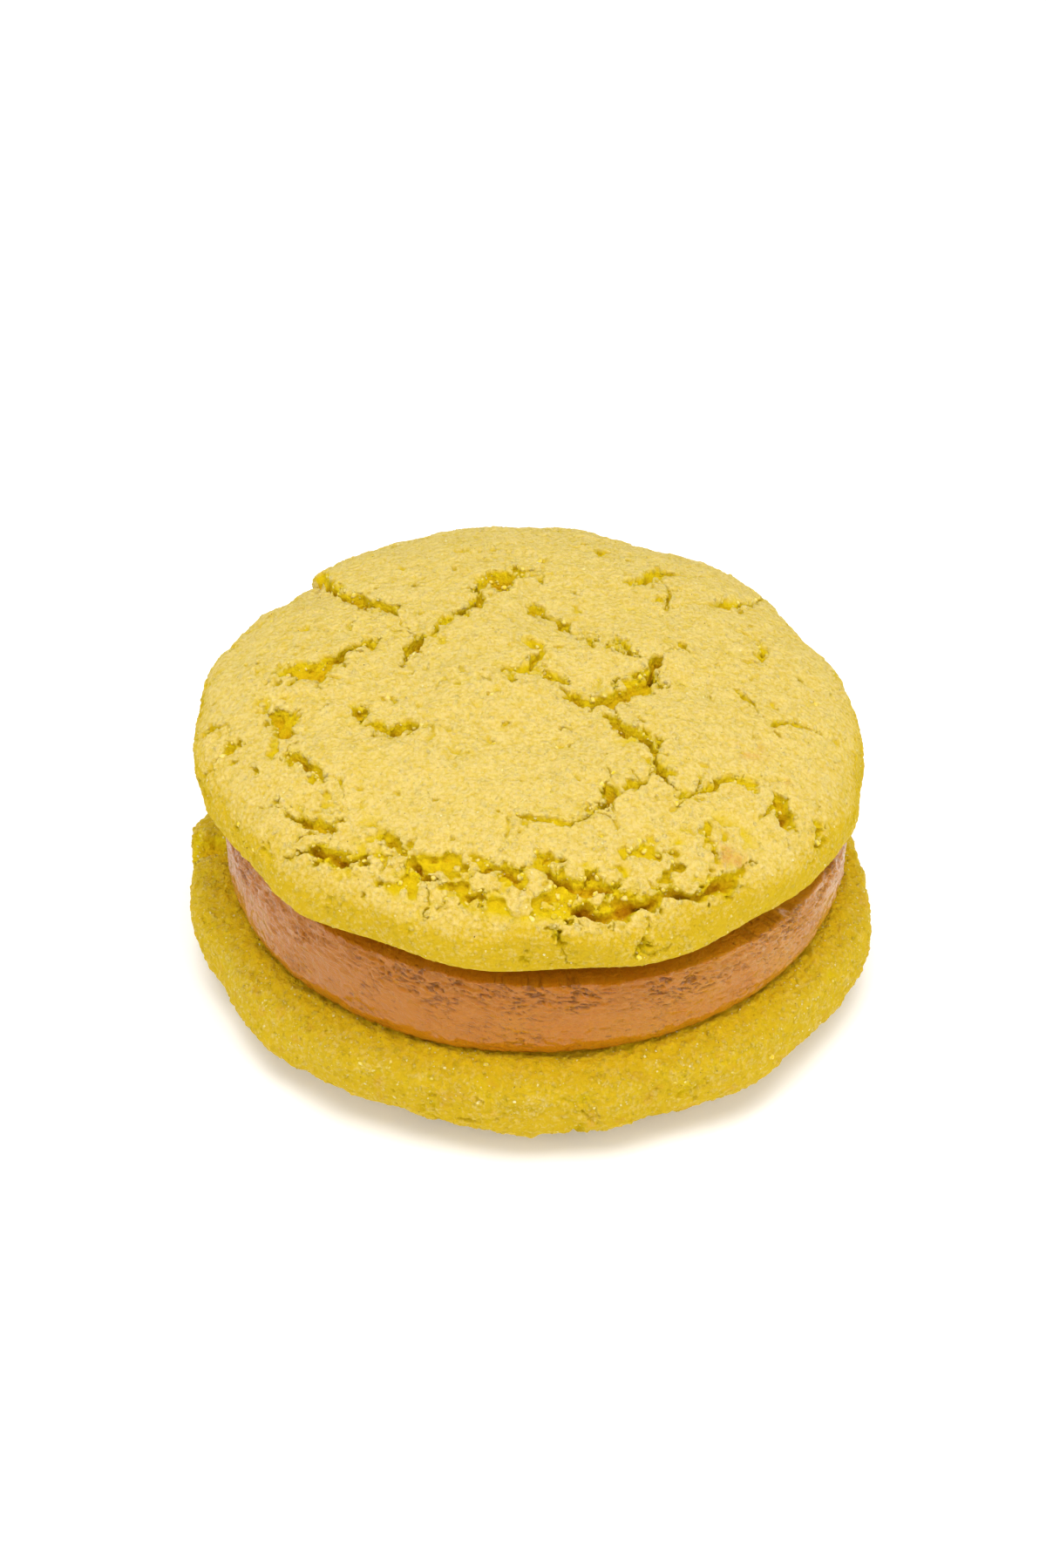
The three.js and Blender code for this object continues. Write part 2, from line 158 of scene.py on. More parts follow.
# Small hollows between the cracks: start, end, width and depth.
CROWN_HOLLOWS = [
    ((-9, 20.2), (-8, 19.8), 0.9, 0.6), ((-5.4, 22.2), (-4.6, 21.8), 0.9, 0.6), ((0.8, 18.6), (1.8, 18.3), 0.9, 0.7),
    ((4.8, 16.7), (5.6, 16.2), 0.8, 0.6), ((8, 25), (8.2, 28), 1.3, 0.8), ((5.8, 28.3), (6.2, 27.7), 0.8, 0.6),
    ((-13.4, 17.7), (-12.6, 17.3), 0.8, 0.6), ((16.5, 8), (17.5, 6), 1.0, 1.0), ((27, 26), (26, 20), 0.7, 0.5),
    ((-27.3, 2.7), (-26.7, 2.3), 0.8, 0.6), ((-27.8, -0.8), (-27.2, -1.2), 0.8, 0.6),
    ((-10.5, -2.5), (-8, -1), 0.5, 0.5), ((-7.3, 0), (-6.7, 0.1), 0.7, 0.5), ((-4.9, -1.6), (-4.1, -1.4), 0.7, 0.5),
    ((-2.9, -8.7), (-2.1, -8.3), 0.7, 0.5), ((3.3, -9.1), (4.3, -8.9), 0.8, 0.6),
    ((12.1, -9.2), (12.9, -8.8), 1.1, 0.8),
    ((31, -17), (32, -20), 1.0, 0.9), ((32, -20), (33.5, -19), 0.9, 0.8), ((-36.3, -11.2), (-35.7, -10.8), 0.9, 0.6),
    ((-33.4, -19.7), (-32.6, -19.3), 0.9, 0.7), ((-32.4, -12.2), (-31.6, -11.8), 0.8, 0.6),
    ((-29.9, -14.2), (-29.1, -13.8), 0.9, 0.7), ((-27.4, -18.7), (-26.6, -18.3), 0.9, 0.7),
    ((-16.4, -31.2), (-15.6, -30.8), 1.0, 0.8), ((-18.4, -32.1), (-17.6, -31.9), 0.8, 0.6),
    ((-10.4, -31.2), (-9.6, -30.8), 0.9, 0.7), ((-8.4, -25.7), (-7.6, -25.3), 0.7, 0.5),
    ((-10.4, -20.6), (-9.6, -20.4), 0.7, 0.5),
]
BASE_CRACKS = [
    ([(-45, 3.4), (-41, 3), (-37.5, 2.7), (-33.5, 2.2)], 3.8, 2.6),
    ([(-45, -6.2), (-42, -5.5), (-40, -5)], 1.2, 1.0),
    ([(4.6, -46), (5, -43.5), (5.2, -41)], 1.4, 0.9),
]
BASE_HOLLOWS = [
    ((-13.5, -40.5), (-11.5, -42.3), 0.5, 0.4), ((-9.5, -41.0), (-7, -41.4), 0.4, 0.4),
    ((5.0, -39.6), (6.2, -40.4), 0.5, 0.4), ((-14.5, -43.5), (-11, -45), 3.0, 0.5),
    ((1, -46.3), (4, -46.5), 2.6, 0.5), ((8.5, -45.5), (12, -44.5), 2.2, 0.4),
]
CRACK_GIRTH = 1.05  # the photographed cracks are this much wider than the solid's troughs
# The bottom cookie's own crown has the same cracks, turned over and round, but none close to the spot that it
# rests on or up on its rim.
UNDERSIDE_TURN = math.radians(140)
UNDERSIDE_CLEAR = 19.0  # mm round the middle of the crown
UNDERSIDE_REACH = 34.0  # mm from the middle of the crown

# The crumbly belt along the top cookie's front shoulder, on the peeled face.
CRUMBLE = {"from_deg": -132.0, "to_deg": -40.0, "inner": 26.5, "outer": 36.5}
# Left of the first crack the rim has dropped like a fault.
FAULT = {"start": (-25.5, 25.0), "end": (-22.0, 17.0), "inner": 25.0, "drop": 1.1, "fade": 5.0}
FAULT_BLEND = 8.0  # mm over which the drop sets in, outward
BELT_BLENDS = {"reach": 3.0, "from_deg": 18.0, "to_deg": 14.0}  # how slowly the crumbly belt sets in and ends
# Bumps that are added up, each with its height and its size in mm.
LUMPS = ((0.17, 4.6), (0.12, 2.1))
RAGGED_LIPS = ((0.40, 2.2), (0.36, 0.95), (0.17, 0.45))
PITS = ((1.0, 1.9), (0.6, 0.85), (0.35, 0.42))
BELT_GAPS = ((1.0, 2.2), (0.6, 0.9))
PIT_DEPTH = 0.4
DEEPEST_HOLLOW = 2.4  # depth in mm that counts as wholly hollow
HIDDEN_SPACING = 1.6  # mm between vertices where nothing shows
TOP_HIDDEN, BOTTOM_HIDDEN = 33.0, 32.5  # mm from the axis within which the jelly hides a cookie's inner face
SHOWN_FROM = 34.0  # mm along the top cookie's lower face, out from its middle
REFINED_EDGE = 1.7  # a top cookie's edge that the relief draws out past this many spacings is halved
# Orange freckles of the top cookie: place on the peeled face, radius in mm.
FRECKLES = [((20.5, -25.4), 1.3), ((22.3, -25.8), 0.9), ((23.5, -9.5), 1.6), ((27.5, -13.5), 0.5)]

JELLY_CENTRE = (0.0, 0.35)
JELLY_RADIUS = 34.3


def length_setting(name, description, default, least):
    """A length, given in millimetres."""
    return FloatProperty(
        name=name, description=description, default=default * MM, min=least * MM, subtype="DISTANCE", unit="LENGTH")


def colour_setting(name, description, default):
    return FloatVectorProperty(name=name, description=description, subtype="COLOR", default=default, min=0, max=1)


def power_setting(name, description, default):
    return FloatProperty(name=name, description=description, default=default, min=0, unit="POWER")


class CookieDoughSettings(bpy.types.PropertyGroup):
    """Sizes and colours of the two cookies."""

    top_radius: length_setting("Top radius", "Radius of the top cookie at its widest ring", 36.5, 20)
    bottom_radius: length_setting("Bottom radius", "Radius of the bottom cookie at its widest ring", 37.5, 20)
    fine_spacing: length_setting("Fine spacing", "Distance between vertices where the crust shows", 0.19, 0.1)
    triangles: IntProperty(
        name="Triangles", description="Triangles that each cookie is brought down to",
        default=190000, min=20000, max=198000)
    # Paler crust where it faces up: partly a paler dry crust, partly painted sheen of the overhead light.
    pale_sheen_colour: colour_setting("Dry crust", "Pale crust on top", (0.80, 0.610, 0.185))
    crust_colour: colour_setting("Crust", "Sandy yellow crust of the rims", (0.64, 0.422, 0.010))
    # Painted shade and bounce light: pits, crack walls and crack floors grow more saturated, then browner, with
    # depth.
    pit_shade_colour: colour_setting("Hollows", "Pure yellow of shallow pits", (0.73, 0.520, 0.003))
    crack_shade_colour: colour_setting("Crack walls", "Gold of the crack walls", (0.74, 0.455, 0.002))
    deep_shade_colour: colour_setting("Crack floors", "Brown of the deepest cracks", (0.66, 0.30, 0.002))
    toasted_colour: colour_setting("Freckles", "Orange of the toasted freckles", (0.64, 0.28, 0.03))


class FruitJellySettings(bpy.types.PropertyGroup):
    """Sizes and colours of the filling."""

    radius: length_setting("Radius", "Radius of the jelly disc", JELLY_RADIUS, 10)
    wrinkle_height: length_setting("Wrinkle height", "Height of the wrinkles on the cut wall", 0.4, 0)
    amber_colour: colour_setting("Amber", "Body colour of the jelly", (0.46, 0.155, 0.002))
    # Painted glow of light through the jelly's right side, in cloudy patches.
    orange_glow_colour: colour_setting("Orange", "Clearer golden patches", (0.50, 0.198, 0.003))
    # Painted shade in the pits and creases of the jelly's wall.
    pit_crease_shade_colour: colour_setting("Dark", "Pits and creases of the jelly's wall", (0.20, 0.060, 0.003))


class CrumbSettings(bpy.types.PropertyGroup):
    """Sizes and amounts of what is strewn over the crust."""

    grain_size: length_setting("Grain size", "Width of the largest grains of the crust", 0.75, 0.1)
    crystal_size: length_setting("Crystal size", "Width of the largest sugar crystals", 0.32, 0.05)
    crystals: FloatProperty(
        name="Crystals", description="Sugar crystals for each square millimetre of crust", default=0.55, min=0)
    crumb_size: length_setting("Crumb size", "Width of the largest loose crumbs", 0.75, 0.1)
    speck_size: length_setting("Speck size", "Width of the largest dark specks", 0.2, 0.05)
    seed: IntProperty(name="Seed", description="Seed of the strewn pieces", default=3, min=0)


class StudioSettings(bpy.types.PropertyGroup):
    """Lights of the white studio and where its camera stands."""

    elevation: FloatProperty(
        name="Camera elevation", description="Height of the camera above the horizon",
        default=math.radians(39.4), subtype="ANGLE", unit="ROTATION")
    distance: length_setting("Camera distance", "From the camera to the middle of the cookie", 450, 100)
    front_power: power_setting("Front softbox", "Power of the low softbox in front", 1.5)
    side_power: power_setting("Side softboxes", "Power of each softbox at the sides", 2.3)
    overhead_power: power_setting("Overhead softbox", "Power of the softbox overhead", 7.6)
    room_light: FloatProperty(
        name="Room light", description="Brightness of the white room", default=0.4, min=0)
    floor_glow: FloatProperty(
        name="Floor glow", description="Light added to the floor, as a lit white sweep has", default=0.1, min=0)


# ---------------------------------------------------------------- random and noise


def seeded_random(seed):
    """The linear congruential draws that also shape the solids, each from 0 to 1."""
    state = seed
    while True:
        state = (state * 1664525 + 1013904223) % 4294967296
        yield state / 4294967296


def make_waves(kind, seed):
    """Random waves in space: each one's ripple vector and phase."""
    draws = seeded_random(seed)
    ripples, phases = [], []
    for _ in range(kind["count"]):
        heading = np.array([next(draws) - 0.5, next(draws) - 0.5, next(draws) - 0.5])
        length = kind["shortest"] + (kind["longest"] - kind["shortest"]) * next(draws)
        ripples.append(heading / np.linalg.norm(heading) * 2 * math.pi / length)
        phases.append(2 * math.pi * next(draws))
    return np.array(ripples), np.array(phases)


def wave_height(kind, seed, points):
    """Height of the random waves at each point, in mm."""
    ripples, phases = make_waves(kind, seed)
    return kind["height"] * np.sin(points @ ripples.T + phases).sum(axis=1)


def lattice_values(cells, seed):
    """A random value from -1 to 1 for each whole-numbered cell."""
    mixed = (cells[:, 0] * 73856093) ^ (cells[:, 1] * 19349663) ^ (cells[:, 2] * 83492791) ^ (seed * 40503 + 77)
    mixed = ((mixed ^ (mixed >> 13)) * 1274126177) & 0xFFFFFFFF
    mixed = ((mixed ^ (mixed >> 15)) * 668265263) & 0xFFFFFFFF
    return (mixed ^ (mixed >> 16)) / 0x7FFFFFFF - 1


def bumps(points, size, seed):
    """Smooth random bumps about size across, mostly from -0.7 to 0.7."""
    scaled = points / size + seed * 17.31
    cell = np.floor(scaled).astype(np.int64)
    share = scaled - cell
    fade = share * share * share * (share * (share * 6 - 15) + 10)
    total = np.zeros(len(points))
    for corner in np.ndindex(2, 2, 2):
        weight = np.prod(np.where(np.array(corner) == 1, fade, 1 - fade), axis=1)
        total += weight * lattice_values(cell + np.array(corner), seed)
    return total


def layered(points, layers, seed, step=1):
    """Bumps of several heights and sizes added up, with seeds this step apart."""
    return sum(height * bumps(points, size, seed + step * number) for number, (height, size) in enumerate(layers))


def pebbles(points, size, seed):
    """Distance to the nearest of randomly strewn centres, as a share of size: 0 on a grain, near 1 between grains."""
    scaled = points / size + seed * 5.17
    cell = np.floor(scaled).astype(np.int64)
    share = scaled - cell
    nearest = np.full(len(points), 9.0)
    for step in np.ndindex(3, 3, 3):
        offset = np.array(step) - 1
        home = cell + offset
        away = [
            offset[axis] + 0.5 + 0.5 * lattice_values(home, seed + 11 * (axis + 1)) - share[:, axis]
            for axis in range(3)
        ]
        nearest = np.minimum(nearest, away[0] ** 2 + away[1] ** 2 + away[2] ** 2)
    return np.sqrt(nearest)


def domes(points, size, seed):
    """Round crumbs about size across, packed side by side: near 0 on a crumb, down to -0.8 in the creases."""
    return np.sqrt(np.maximum(0, 1 - pebbles(points, size, seed) ** 2)) - 0.8


def smooth_step(low, high, values):
    """0 up to low, 1 from high on, and a smooth rise between them."""
    share = np.clip((values - low) / (high - low), 0, 1)
    return share * share * (3 - 2 * share)


# ---------------------------------------------------------------- the cookie's skin


def half_outline(shape, radius):
    """The half-outline from the middle of the upper face, over the ring, to the middle of the lower face."""
    angle = np.pi * (0.5 - np.linspace(0, 1, OUTLINE_STEPS + 1))
    upper = angle > 0
    power = np.where(upper, 2 / shape["crown_power"], 2 / shape["heel_power"])
    reach = np.where(upper, shape["crown"], -shape["heel"])
    radii = radius * np.maximum(np.cos(angle), 0) ** power
    heights = shape["ring_height"] + reach * np.abs(np.sin(angle)) ** power
    lengths = np.concatenate([[0], np.cumsum(np.hypot(np.diff(radii), np.diff(heights)))])
    return {"radii": radii, "heights": heights, "lengths": lengths, "radius": radius}


def bulge_at(bulges, degrees):
    """How far the bulges push the rim out in each direction, in mm."""
    total = np.zeros(len(degrees))
    for azimuth, spread, height in bulges:
        away = (degrees - azimuth + 180) % 360 - 180
        total += height * np.exp(-((away / spread) ** 2))
    return total


def place_on_cookie(shape, outline, turn, along):
    """Points in the stack's frame from a direction and a way along the half-outline, with the slow unevenness."""
    radii = np.interp(along, outline["lengths"], outline["radii"])
    heights = np.interp(along, outline["lengths"], outline["heights"])
    swell = 1 + bulge_at(shape["bulges"], np.degrees(turn)) / outline["radius"]
    x = shape["centre"][0] + swell * radii * np.cos(turn)
    y = shape["centre"][1] + swell * radii * np.sin(turn)
    points = np.stack([x, y, heights + shape["slope"] * x], axis=1)
    outward = points - np.array([*shape["centre"], shape["ring_height"]])
    outward /= np.linalg.norm(outward, axis=1)[:, None]
    return points + outward * wave_height(WAVES, shape["wave_seed"], points)[:, None]


def zip_rings(first, second, first_turns, second_turns):
    """Triangles between two rings of vertices, given each ring's vertex numbers and directions in rising order."""
    def middles(turns):
        return (turns + np.append(turns[1:], turns[0] + 2 * np.pi)) / 2

    first_middles, second_middles = middles(first_turns), middles(second_turns)
    beside_first = second[np.searchsorted(second_middles, first_middles, side="left") % len(second)]
    beside_second = first[np.searchsorted(first_middles, second_middles, side="right") % len(first)]
    outer = np.stack([first, beside_first, np.roll(first, -1)], axis=1)
    inner = np.stack([second, np.roll(second, -1), beside_second], axis=1)
    return np.concatenate([outer, inner])


def ring_net(outline, spacing, draws):
    """A closed net of triangles over the cookie: each vertex's direction and way along the half-outline."""
    lengths = outline["lengths"]
    rows = np.concatenate([[0], np.cumsum(np.diff(lengths) / (0.87 * (spacing[1:] + spacing[:-1]) / 2))])
    row_count = int(rows[-1])
    along_rows = np.interp(np.arange(1, row_count), rows * row_count / rows[-1], lengths)
    row_spacing = np.interp(along_rows, lengths, spacing)
    row_radii = np.interp(along_rows, lengths, outline["radii"])
    turns, alongs, triangles = [np.zeros(1)], [np.zeros(1)], []
    ring, ring_turns, total = np.zeros(1, np.int64), None, 1
    for along, step, radius in zip(along_rows, row_spacing, row_radii):
        count = max(6, int(round(2 * np.pi * radius / step)))
        jitter = 0.25 * (2 * draws.random((2, count)) - 1)
        new_turns = (np.arange(count) + draws.random() + jitter[0]) * 2 * np.pi / count
        new_ring = total + np.arange(count)
        turns.append(new_turns)
        alongs.append(along + jitter[1] * step * min(1, along / (4 * step)))
        if ring_turns is None:
            triangles.append(np.stack([np.zeros(count, np.int64), new_ring, np.roll(new_ring, -1)], axis=1))
        else:
            triangles.append(zip_rings(ring, new_ring, ring_turns, new_turns))
        ring, ring_turns, total = new_ring, new_turns, total + count
    turns.append(np.zeros(1))
    alongs.append(lengths[-1:])
    triangles.append(np.stack([ring, np.full(len(ring), total), np.roll(ring, -1)], axis=1))
    return np.concatenate(turns), np.concatenate(alongs), np.concatenate(triangles)


def vertex_normals(points, triangles):
    """Unit normals, where each triangle counts by its area."""
    corners = points[triangles]
    face = np.cross(corners[:, 1] - corners[:, 0], corners[:, 2] - corners[:, 0])
    normals = np.zeros_like(points)
    for corner in range(3):
        for axis in range(3):
            normals[:, axis] += np.bincount(triangles[:, corner], face[:, axis], len(points))
    return normals / np.linalg.norm(normals, axis=1)[:, None]


# ---------------------------------------------------------------- cracks and crumb


def smooth_path(path, steps=6):
    """A Catmull-Rom curve through the path's points."""
    points = np.array(path, float)
    ends = np.concatenate([[2 * points[0] - points[1]], points, [2 * points[-1] - points[-2]]])
    share = np.linspace(0, 1, steps, endpoint=False)[:, None]
    pieces = []
    for before, start, end, after in zip(ends, ends[1:], ends[2:], ends[3:]):
        slope_in, slope_out = (end - before) / 2, (after - start) / 2
        pieces.append(
            (2 * share**3 - 3 * share**2 + 1) * start
            + (share**3 - 2 * share**2 + share) * slope_in
            + (3 * share**2 - 2 * share**3) * end
            + (share**3 - share**2) * slope_out
        )
    return np.concatenate([*pieces, points[-1:]])


def along_path(spots, path):
    """Each spot's distance from the path, how far along the path its nearest point lies, from 0 to 1, and how
    far towards +Y of that point the spot is, in mm."""
    spans = np.linalg.norm(np.diff(path, axis=0), axis=1)
    before = np.concatenate([[0], np.cumsum(spans)])
    best, along, away = np.full(len(spots), np.inf), np.zeros(len(spots)), np.zeros(len(spots))
    for start, end, span, passed in zip(path, path[1:], spans, before):
        share = np.clip((spots - start) @ (end - start) / span**2, 0, 1)
        offset = spots - start - share[:, None] * (end - start)
        gap = np.linalg.norm(offset, axis=1)
        closer = gap < best
        best = np.where(closer, gap, best)
        along = np.where(closer, (passed + share * span) / before[-1], along)
        away = np.where(closer, offset[:, 1], away)
    return best, along, away


def crack_depth(spots, uneven, cracks, draws):
    """Depth of the cracks at each spot of the peeled face. uneven is a random value for each spot.

    A crack's near side, towards -Y, is steep and its far side slopes.
    """
    depth = np.zeros(len(spots))
    for path, width, deepest in cracks:
        line = smooth_path(path)
        low, high = line.min(axis=0) - 1.2 * width, line.max(axis=0) + 1.2 * width
        near = np.flatnonzero(((spots > low) & (spots < high)).all(axis=1))
        sway = draws.random(3) * 2 * math.pi
        if len(near) == 0:
            continue
        gap, along, away = along_path(spots[near], line)
        ends = np.maximum(0, 1 - np.abs(2 * along - 1) ** 3) ** 0.6
        swell = 1 + 0.28 * np.sin(8 * along + sway[0]) + 0.2 * np.sin(19 * along + sway[1])
        is_far = smooth_step(-0.15, 0.15, away)
        half = width / 2 * (0.25 + 0.75 * ends) * swell * (1 + 0.35 * uneven[near]) * (0.8 + 0.5 * is_far)
        share = np.clip(gap / np.maximum(half, 0.05), 0, 1)
        shape = (1 - is_far) * (1 - share**4) + is_far * (1 - share**1.5)
        here = deepest * (0.3 + 0.7 * ends) * (1 + 0.25 * np.sin(13 * along + sway[2])) * shape
        depth[near] = np.maximum(depth[near], here)
    return depth


def as_cracks(hollows):
    return [([start, end], width, deepest) for start, end, width, deepest in hollows]


def turned_over(path):
    """The path as the underside has it."""
    cos, sin = math.cos(UNDERSIDE_TURN), math.sin(UNDERSIDE_TURN)
    return [(cos * x + sin * y, sin * x - cos * y) for x, y in path]


def is_on_underside(path):
    return all(UNDERSIDE_CLEAR < math.hypot(x, y) < UNDERSIDE_REACH for x, y in path)


def random_strokes(draws, count, inner, outer, longest, widths, depths):
    """Short, slightly bent cracks strewn over a ring of the peeled face."""
    strokes = []
    for _ in range(count):
        reach = math.sqrt(inner**2 + (outer**2 - inner**2) * draws.random())
        turn, heading = draws.random(2) * 2 * math.pi
        length = longest * (0.15 + 0.85 * draws.random() ** 2)
        bend = draws.normal(0, 0.5)
        size = draws.random()
        middle = np.array([reach * math.cos(turn), reach * math.sin(turn)])
        step = np.array([math.cos(heading), math.sin(heading)]) * length / 2
        step_on = np.array([math.cos(heading + bend), math.sin(heading + bend)]) * length / 2
        path = [tuple(middle - step), tuple(middle), tuple(middle + step_on)]
        width, depth = (least + (most - least) * size for least, most in (widths, depths))
        strokes.append((path, width, depth))
    return strokes


def chipped_lips(draws, cracks):
    """Small hollows beside the cracks, where crumbs have broken out of their lips."""
    chips = []
    for path, width, deepest in cracks:
        line = smooth_path(path)
        for start, end in zip(line, line[1:]):
            heading = (end - start) / np.linalg.norm(end - start)
            across = np.array([heading[1], -heading[0]]) * (1 if draws.random() < 0.5 else -1)
            if draws.random() > 0.5:
                continue
            size = 0.4 + 0.9 * draws.random() ** 2
            middle = start + across * (width / 2 + 0.4 * size * (2 * draws.random() - 0.5))
            reach = (heading + across * draws.normal(0, 0.7)) * size / 2
            chips.append(([tuple(middle - reach), tuple(middle + reach)], size, min(0.9, 0.5 * deepest) * size))
    return chips


def hairlines(draws, cracks):
    """Thin bent splits that run on from the cracks' ends."""
    splits = []
    for path, width, deepest in cracks:
        for end, before in ((path[0], path[1]), (path[-1], path[-2])):
            if draws.random() > 0.7:
                continue
            heading = np.array(end) - np.array(before)
            turn = math.atan2(heading[1], heading[0])
            spot, line = np.array(end, float), [tuple(end)]
            for _ in range(draws.integers(2, 5)):
                turn += draws.normal(0, 0.6)
                spot = spot + (0.5 + 0.9 * draws.random()) * np.array([math.cos(turn), math.sin(turn)])
                line.append(tuple(spot))
            splits.append((line, 0.3 + 0.35 * draws.random(), 0.3 + 0.25 * deepest * draws.random()))
    return splits


def warped(flat, points, seed):
    """The peeled spots pushed about a little, so that the cracks' lips run ragged."""
    return flat + np.stack([layered(points, RAGGED_LIPS, seed + axis, 2) for axis in range(2)], axis=1)


def crumble_belt(flat):
    """1 on the broken front shoulder, 0 elsewhere."""
    reach = np.hypot(flat[:, 0], flat[:, 1])
    turn = np.degrees(np.arctan2(flat[:, 1], flat[:, 0]))
    belt = smooth_step(CRUMBLE["inner"], CRUMBLE["inner"] + BELT_BLENDS["reach"], reach)
    belt *= 1 - smooth_step(CRUMBLE["outer"] - BELT_BLENDS["reach"], CRUMBLE["outer"], reach)
    belt *= smooth_step(CRUMBLE["from_deg"], CRUMBLE["from_deg"] + BELT_BLENDS["from_deg"], turn)
    return belt * (1 - smooth_step(CRUMBLE["to_deg"] - BELT_BLENDS["to_deg"], CRUMBLE["to_deg"], turn))


def fault_drop(flat):
    """How far the rim beside the first crack has dropped."""
    start, end = np.array(FAULT["start"]), np.array(FAULT["end"])
    heading = (end - start) / np.linalg.norm(end - start)
    aside = (flat - start) @ np.array([heading[1], -heading[0]])
    reach = np.hypot(flat[:, 0], flat[:, 1])
    drop = FAULT["drop"] * smooth_step(0, 0.5, aside) * np.exp(-((np.maximum(aside, 0) / FAULT["fade"]) ** 2))
    return drop * smooth_step(FAULT["inner"], FAULT["inner"] + FAULT_BLEND, reach) * (flat[:, 1] > 0)


def pit_depth(points, amount, seed):
    """Shallow ragged pits. amount says how many, from 0 to 1, at each point."""
    limit = 0.86 - 0.38 * amount
    return PIT_DEPTH * smooth_step(limit, limit + 0.5, layered(points, PITS, seed))


def crumb_relief(points, size, seed):
    """Rounded crumbs that carry smaller ones, with creases between them."""
    return domes(points, size, seed) + 0.4 * domes(points, size * 0.45, seed + 3)


def sandy(points, seed, height):
    """Fine grain of the crust, standing out by about height."""
    grain = 1.2 * domes(points, 0.75, seed)
    return height * (grain + 0.8 * bumps(points, 0.5, seed + 5) + 0.7 * bumps(points, 1.1, seed + 6))


def make_skin(shape, radius, spacing_at, seed):
    """The smooth skin of a cookie as a dictionary of arrays."""
    outline = half_outline(shape, radius)
    turn, along, triangles = ring_net(outline, spacing_at(outline), np.random.default_rng(seed))
    points = place_on_cookie(shape, outline, turn, along)
    return {
        "points": points,
        "normals": vertex_normals(points, triangles),
        "triangles": triangles,
        "flat": np.stack([along * np.cos(turn), along * np.sin(turn)], axis=1),
        "under": outline["lengths"][-1] - along,
    }


def refined(skin, longest):
    """The skin with every edge that shows halved where the relief has made it longer than this."""
    triangles, placed, count = skin["triangles"], skin["placed"], len(skin["points"])
    edges = np.sort(np.stack([triangles, np.roll(triangles, -1, axis=1)], axis=2), axis=2)
    keys, where = np.unique(edges[..., 0] * count + edges[..., 1], return_inverse=True)
    first, second = keys // count, keys % count
    is_long = np.linalg.norm(placed[first] - placed[second], axis=1) > longest
    is_long &= np.minimum(skin["under"][first], skin["under"][second]) > SHOWN_FROM
    middle_of = np.full(len(keys), -1)
    middle_of[is_long] = count + np.arange(is_long.sum())
    middles = middle_of[where.reshape(triangles.shape)]
    halved = {}
    for key in ("points", "normals", "flat", "under"):
        values = skin[key]
        halved[key] = np.concatenate([values, (values[first[is_long]] + values[second[is_long]]) / 2])
    parts = []
    for turn in range(3):
        a, b, c = (np.roll(triangles, -turn, axis=1)[:, i] for i in range(3))
        ab, bc, ca = (np.roll(middles, -turn, axis=1)[:, i] for i in range(3))
        one = (ab >= 0) & (bc < 0) & (ca < 0)
        parts += [np.stack([a, ab, c], axis=1)[one], np.stack([ab, b, c], axis=1)[one]]
        two = (ab >= 0) & (bc >= 0) & (ca < 0)
        parts += [np.stack(corners, axis=1)[two] for corners in ((ab, b, bc), (a, ab, bc), (a, bc, c))]
    a, b, c = triangles.T
    ab, bc, ca = middles.T
    three = (middles >= 0).all(axis=1)
    parts += [np.stack(corners, axis=1)[three] for corners in ((a, ab, ca), (ab, b, bc), (ca, bc, c), (ab, bc, ca))]
    parts.append(triangles[(middles < 0).all(axis=1)])
    halved["triangles"] = np.concatenate(parts)
    return halved


def top_spacing(fine, inner):
    """Fine over the crown and the rim, coarse on the underside further in than inner."""
    def spacing(outline):
        past_ring = outline["heights"] < TOP_SHAPE["ring_height"]
        hidden = np.where(past_ring, smooth_step(inner, inner - 3, outline["radii"]), 0)
        return fine + (HIDDEN_SPACING - fine) * hidden
    return spacing


def bottom_spacing(fine, inner):
    """Coarse under the jelly, fine over the rim, medium on the crown underneath."""
    def spacing(outline):
        above = outline["heights"] > BOTTOM_SHAPE["ring_height"]
        hidden = smooth_step(inner, inner - 3, outline["radii"])
        return np.where(above, fine + (HIDDEN_SPACING - fine) * hidden, fine + 0.22 * hidden)
    return spacing


def finish_relief(skin, depth, lift, shown):
    """Places the vertices: first the cracks and lumps along the skin, then crumbs out of the cracks' own walls."""
    points = skin["points"]
    placed = points + skin["normals"] * ((lift + layered(points, LUMPS, 71) - depth) * shown)[:, None]
    rough = smooth_step(0.08, 0.5, depth) * shown
    grit = rough * (0.42 * domes(placed, 0.95, 51) + 0.16 * domes(placed, 0.5, 52) + 0.12 * bumps(placed, 0.42, 54))
    placed = placed + vertex_normals(placed, skin["triangles"]) * grit[:, None]
    placed[:, 2] = np.maximum(placed[:, 2], 0)
    skin["placed"] = placed
    # creases between the lumps and crumbs count as hollow too, so the crust is painted with shade in them
    creases = 1.6 * (np.maximum(-lift - 0.03, 0) + np.maximum(-grit - 0.03, 0))
    skin["hollow_shade"] = np.clip((np.maximum(depth, 0) + creases) / DEEPEST_HOLLOW, 0, 1) * shown
    skin["shown"] = shown


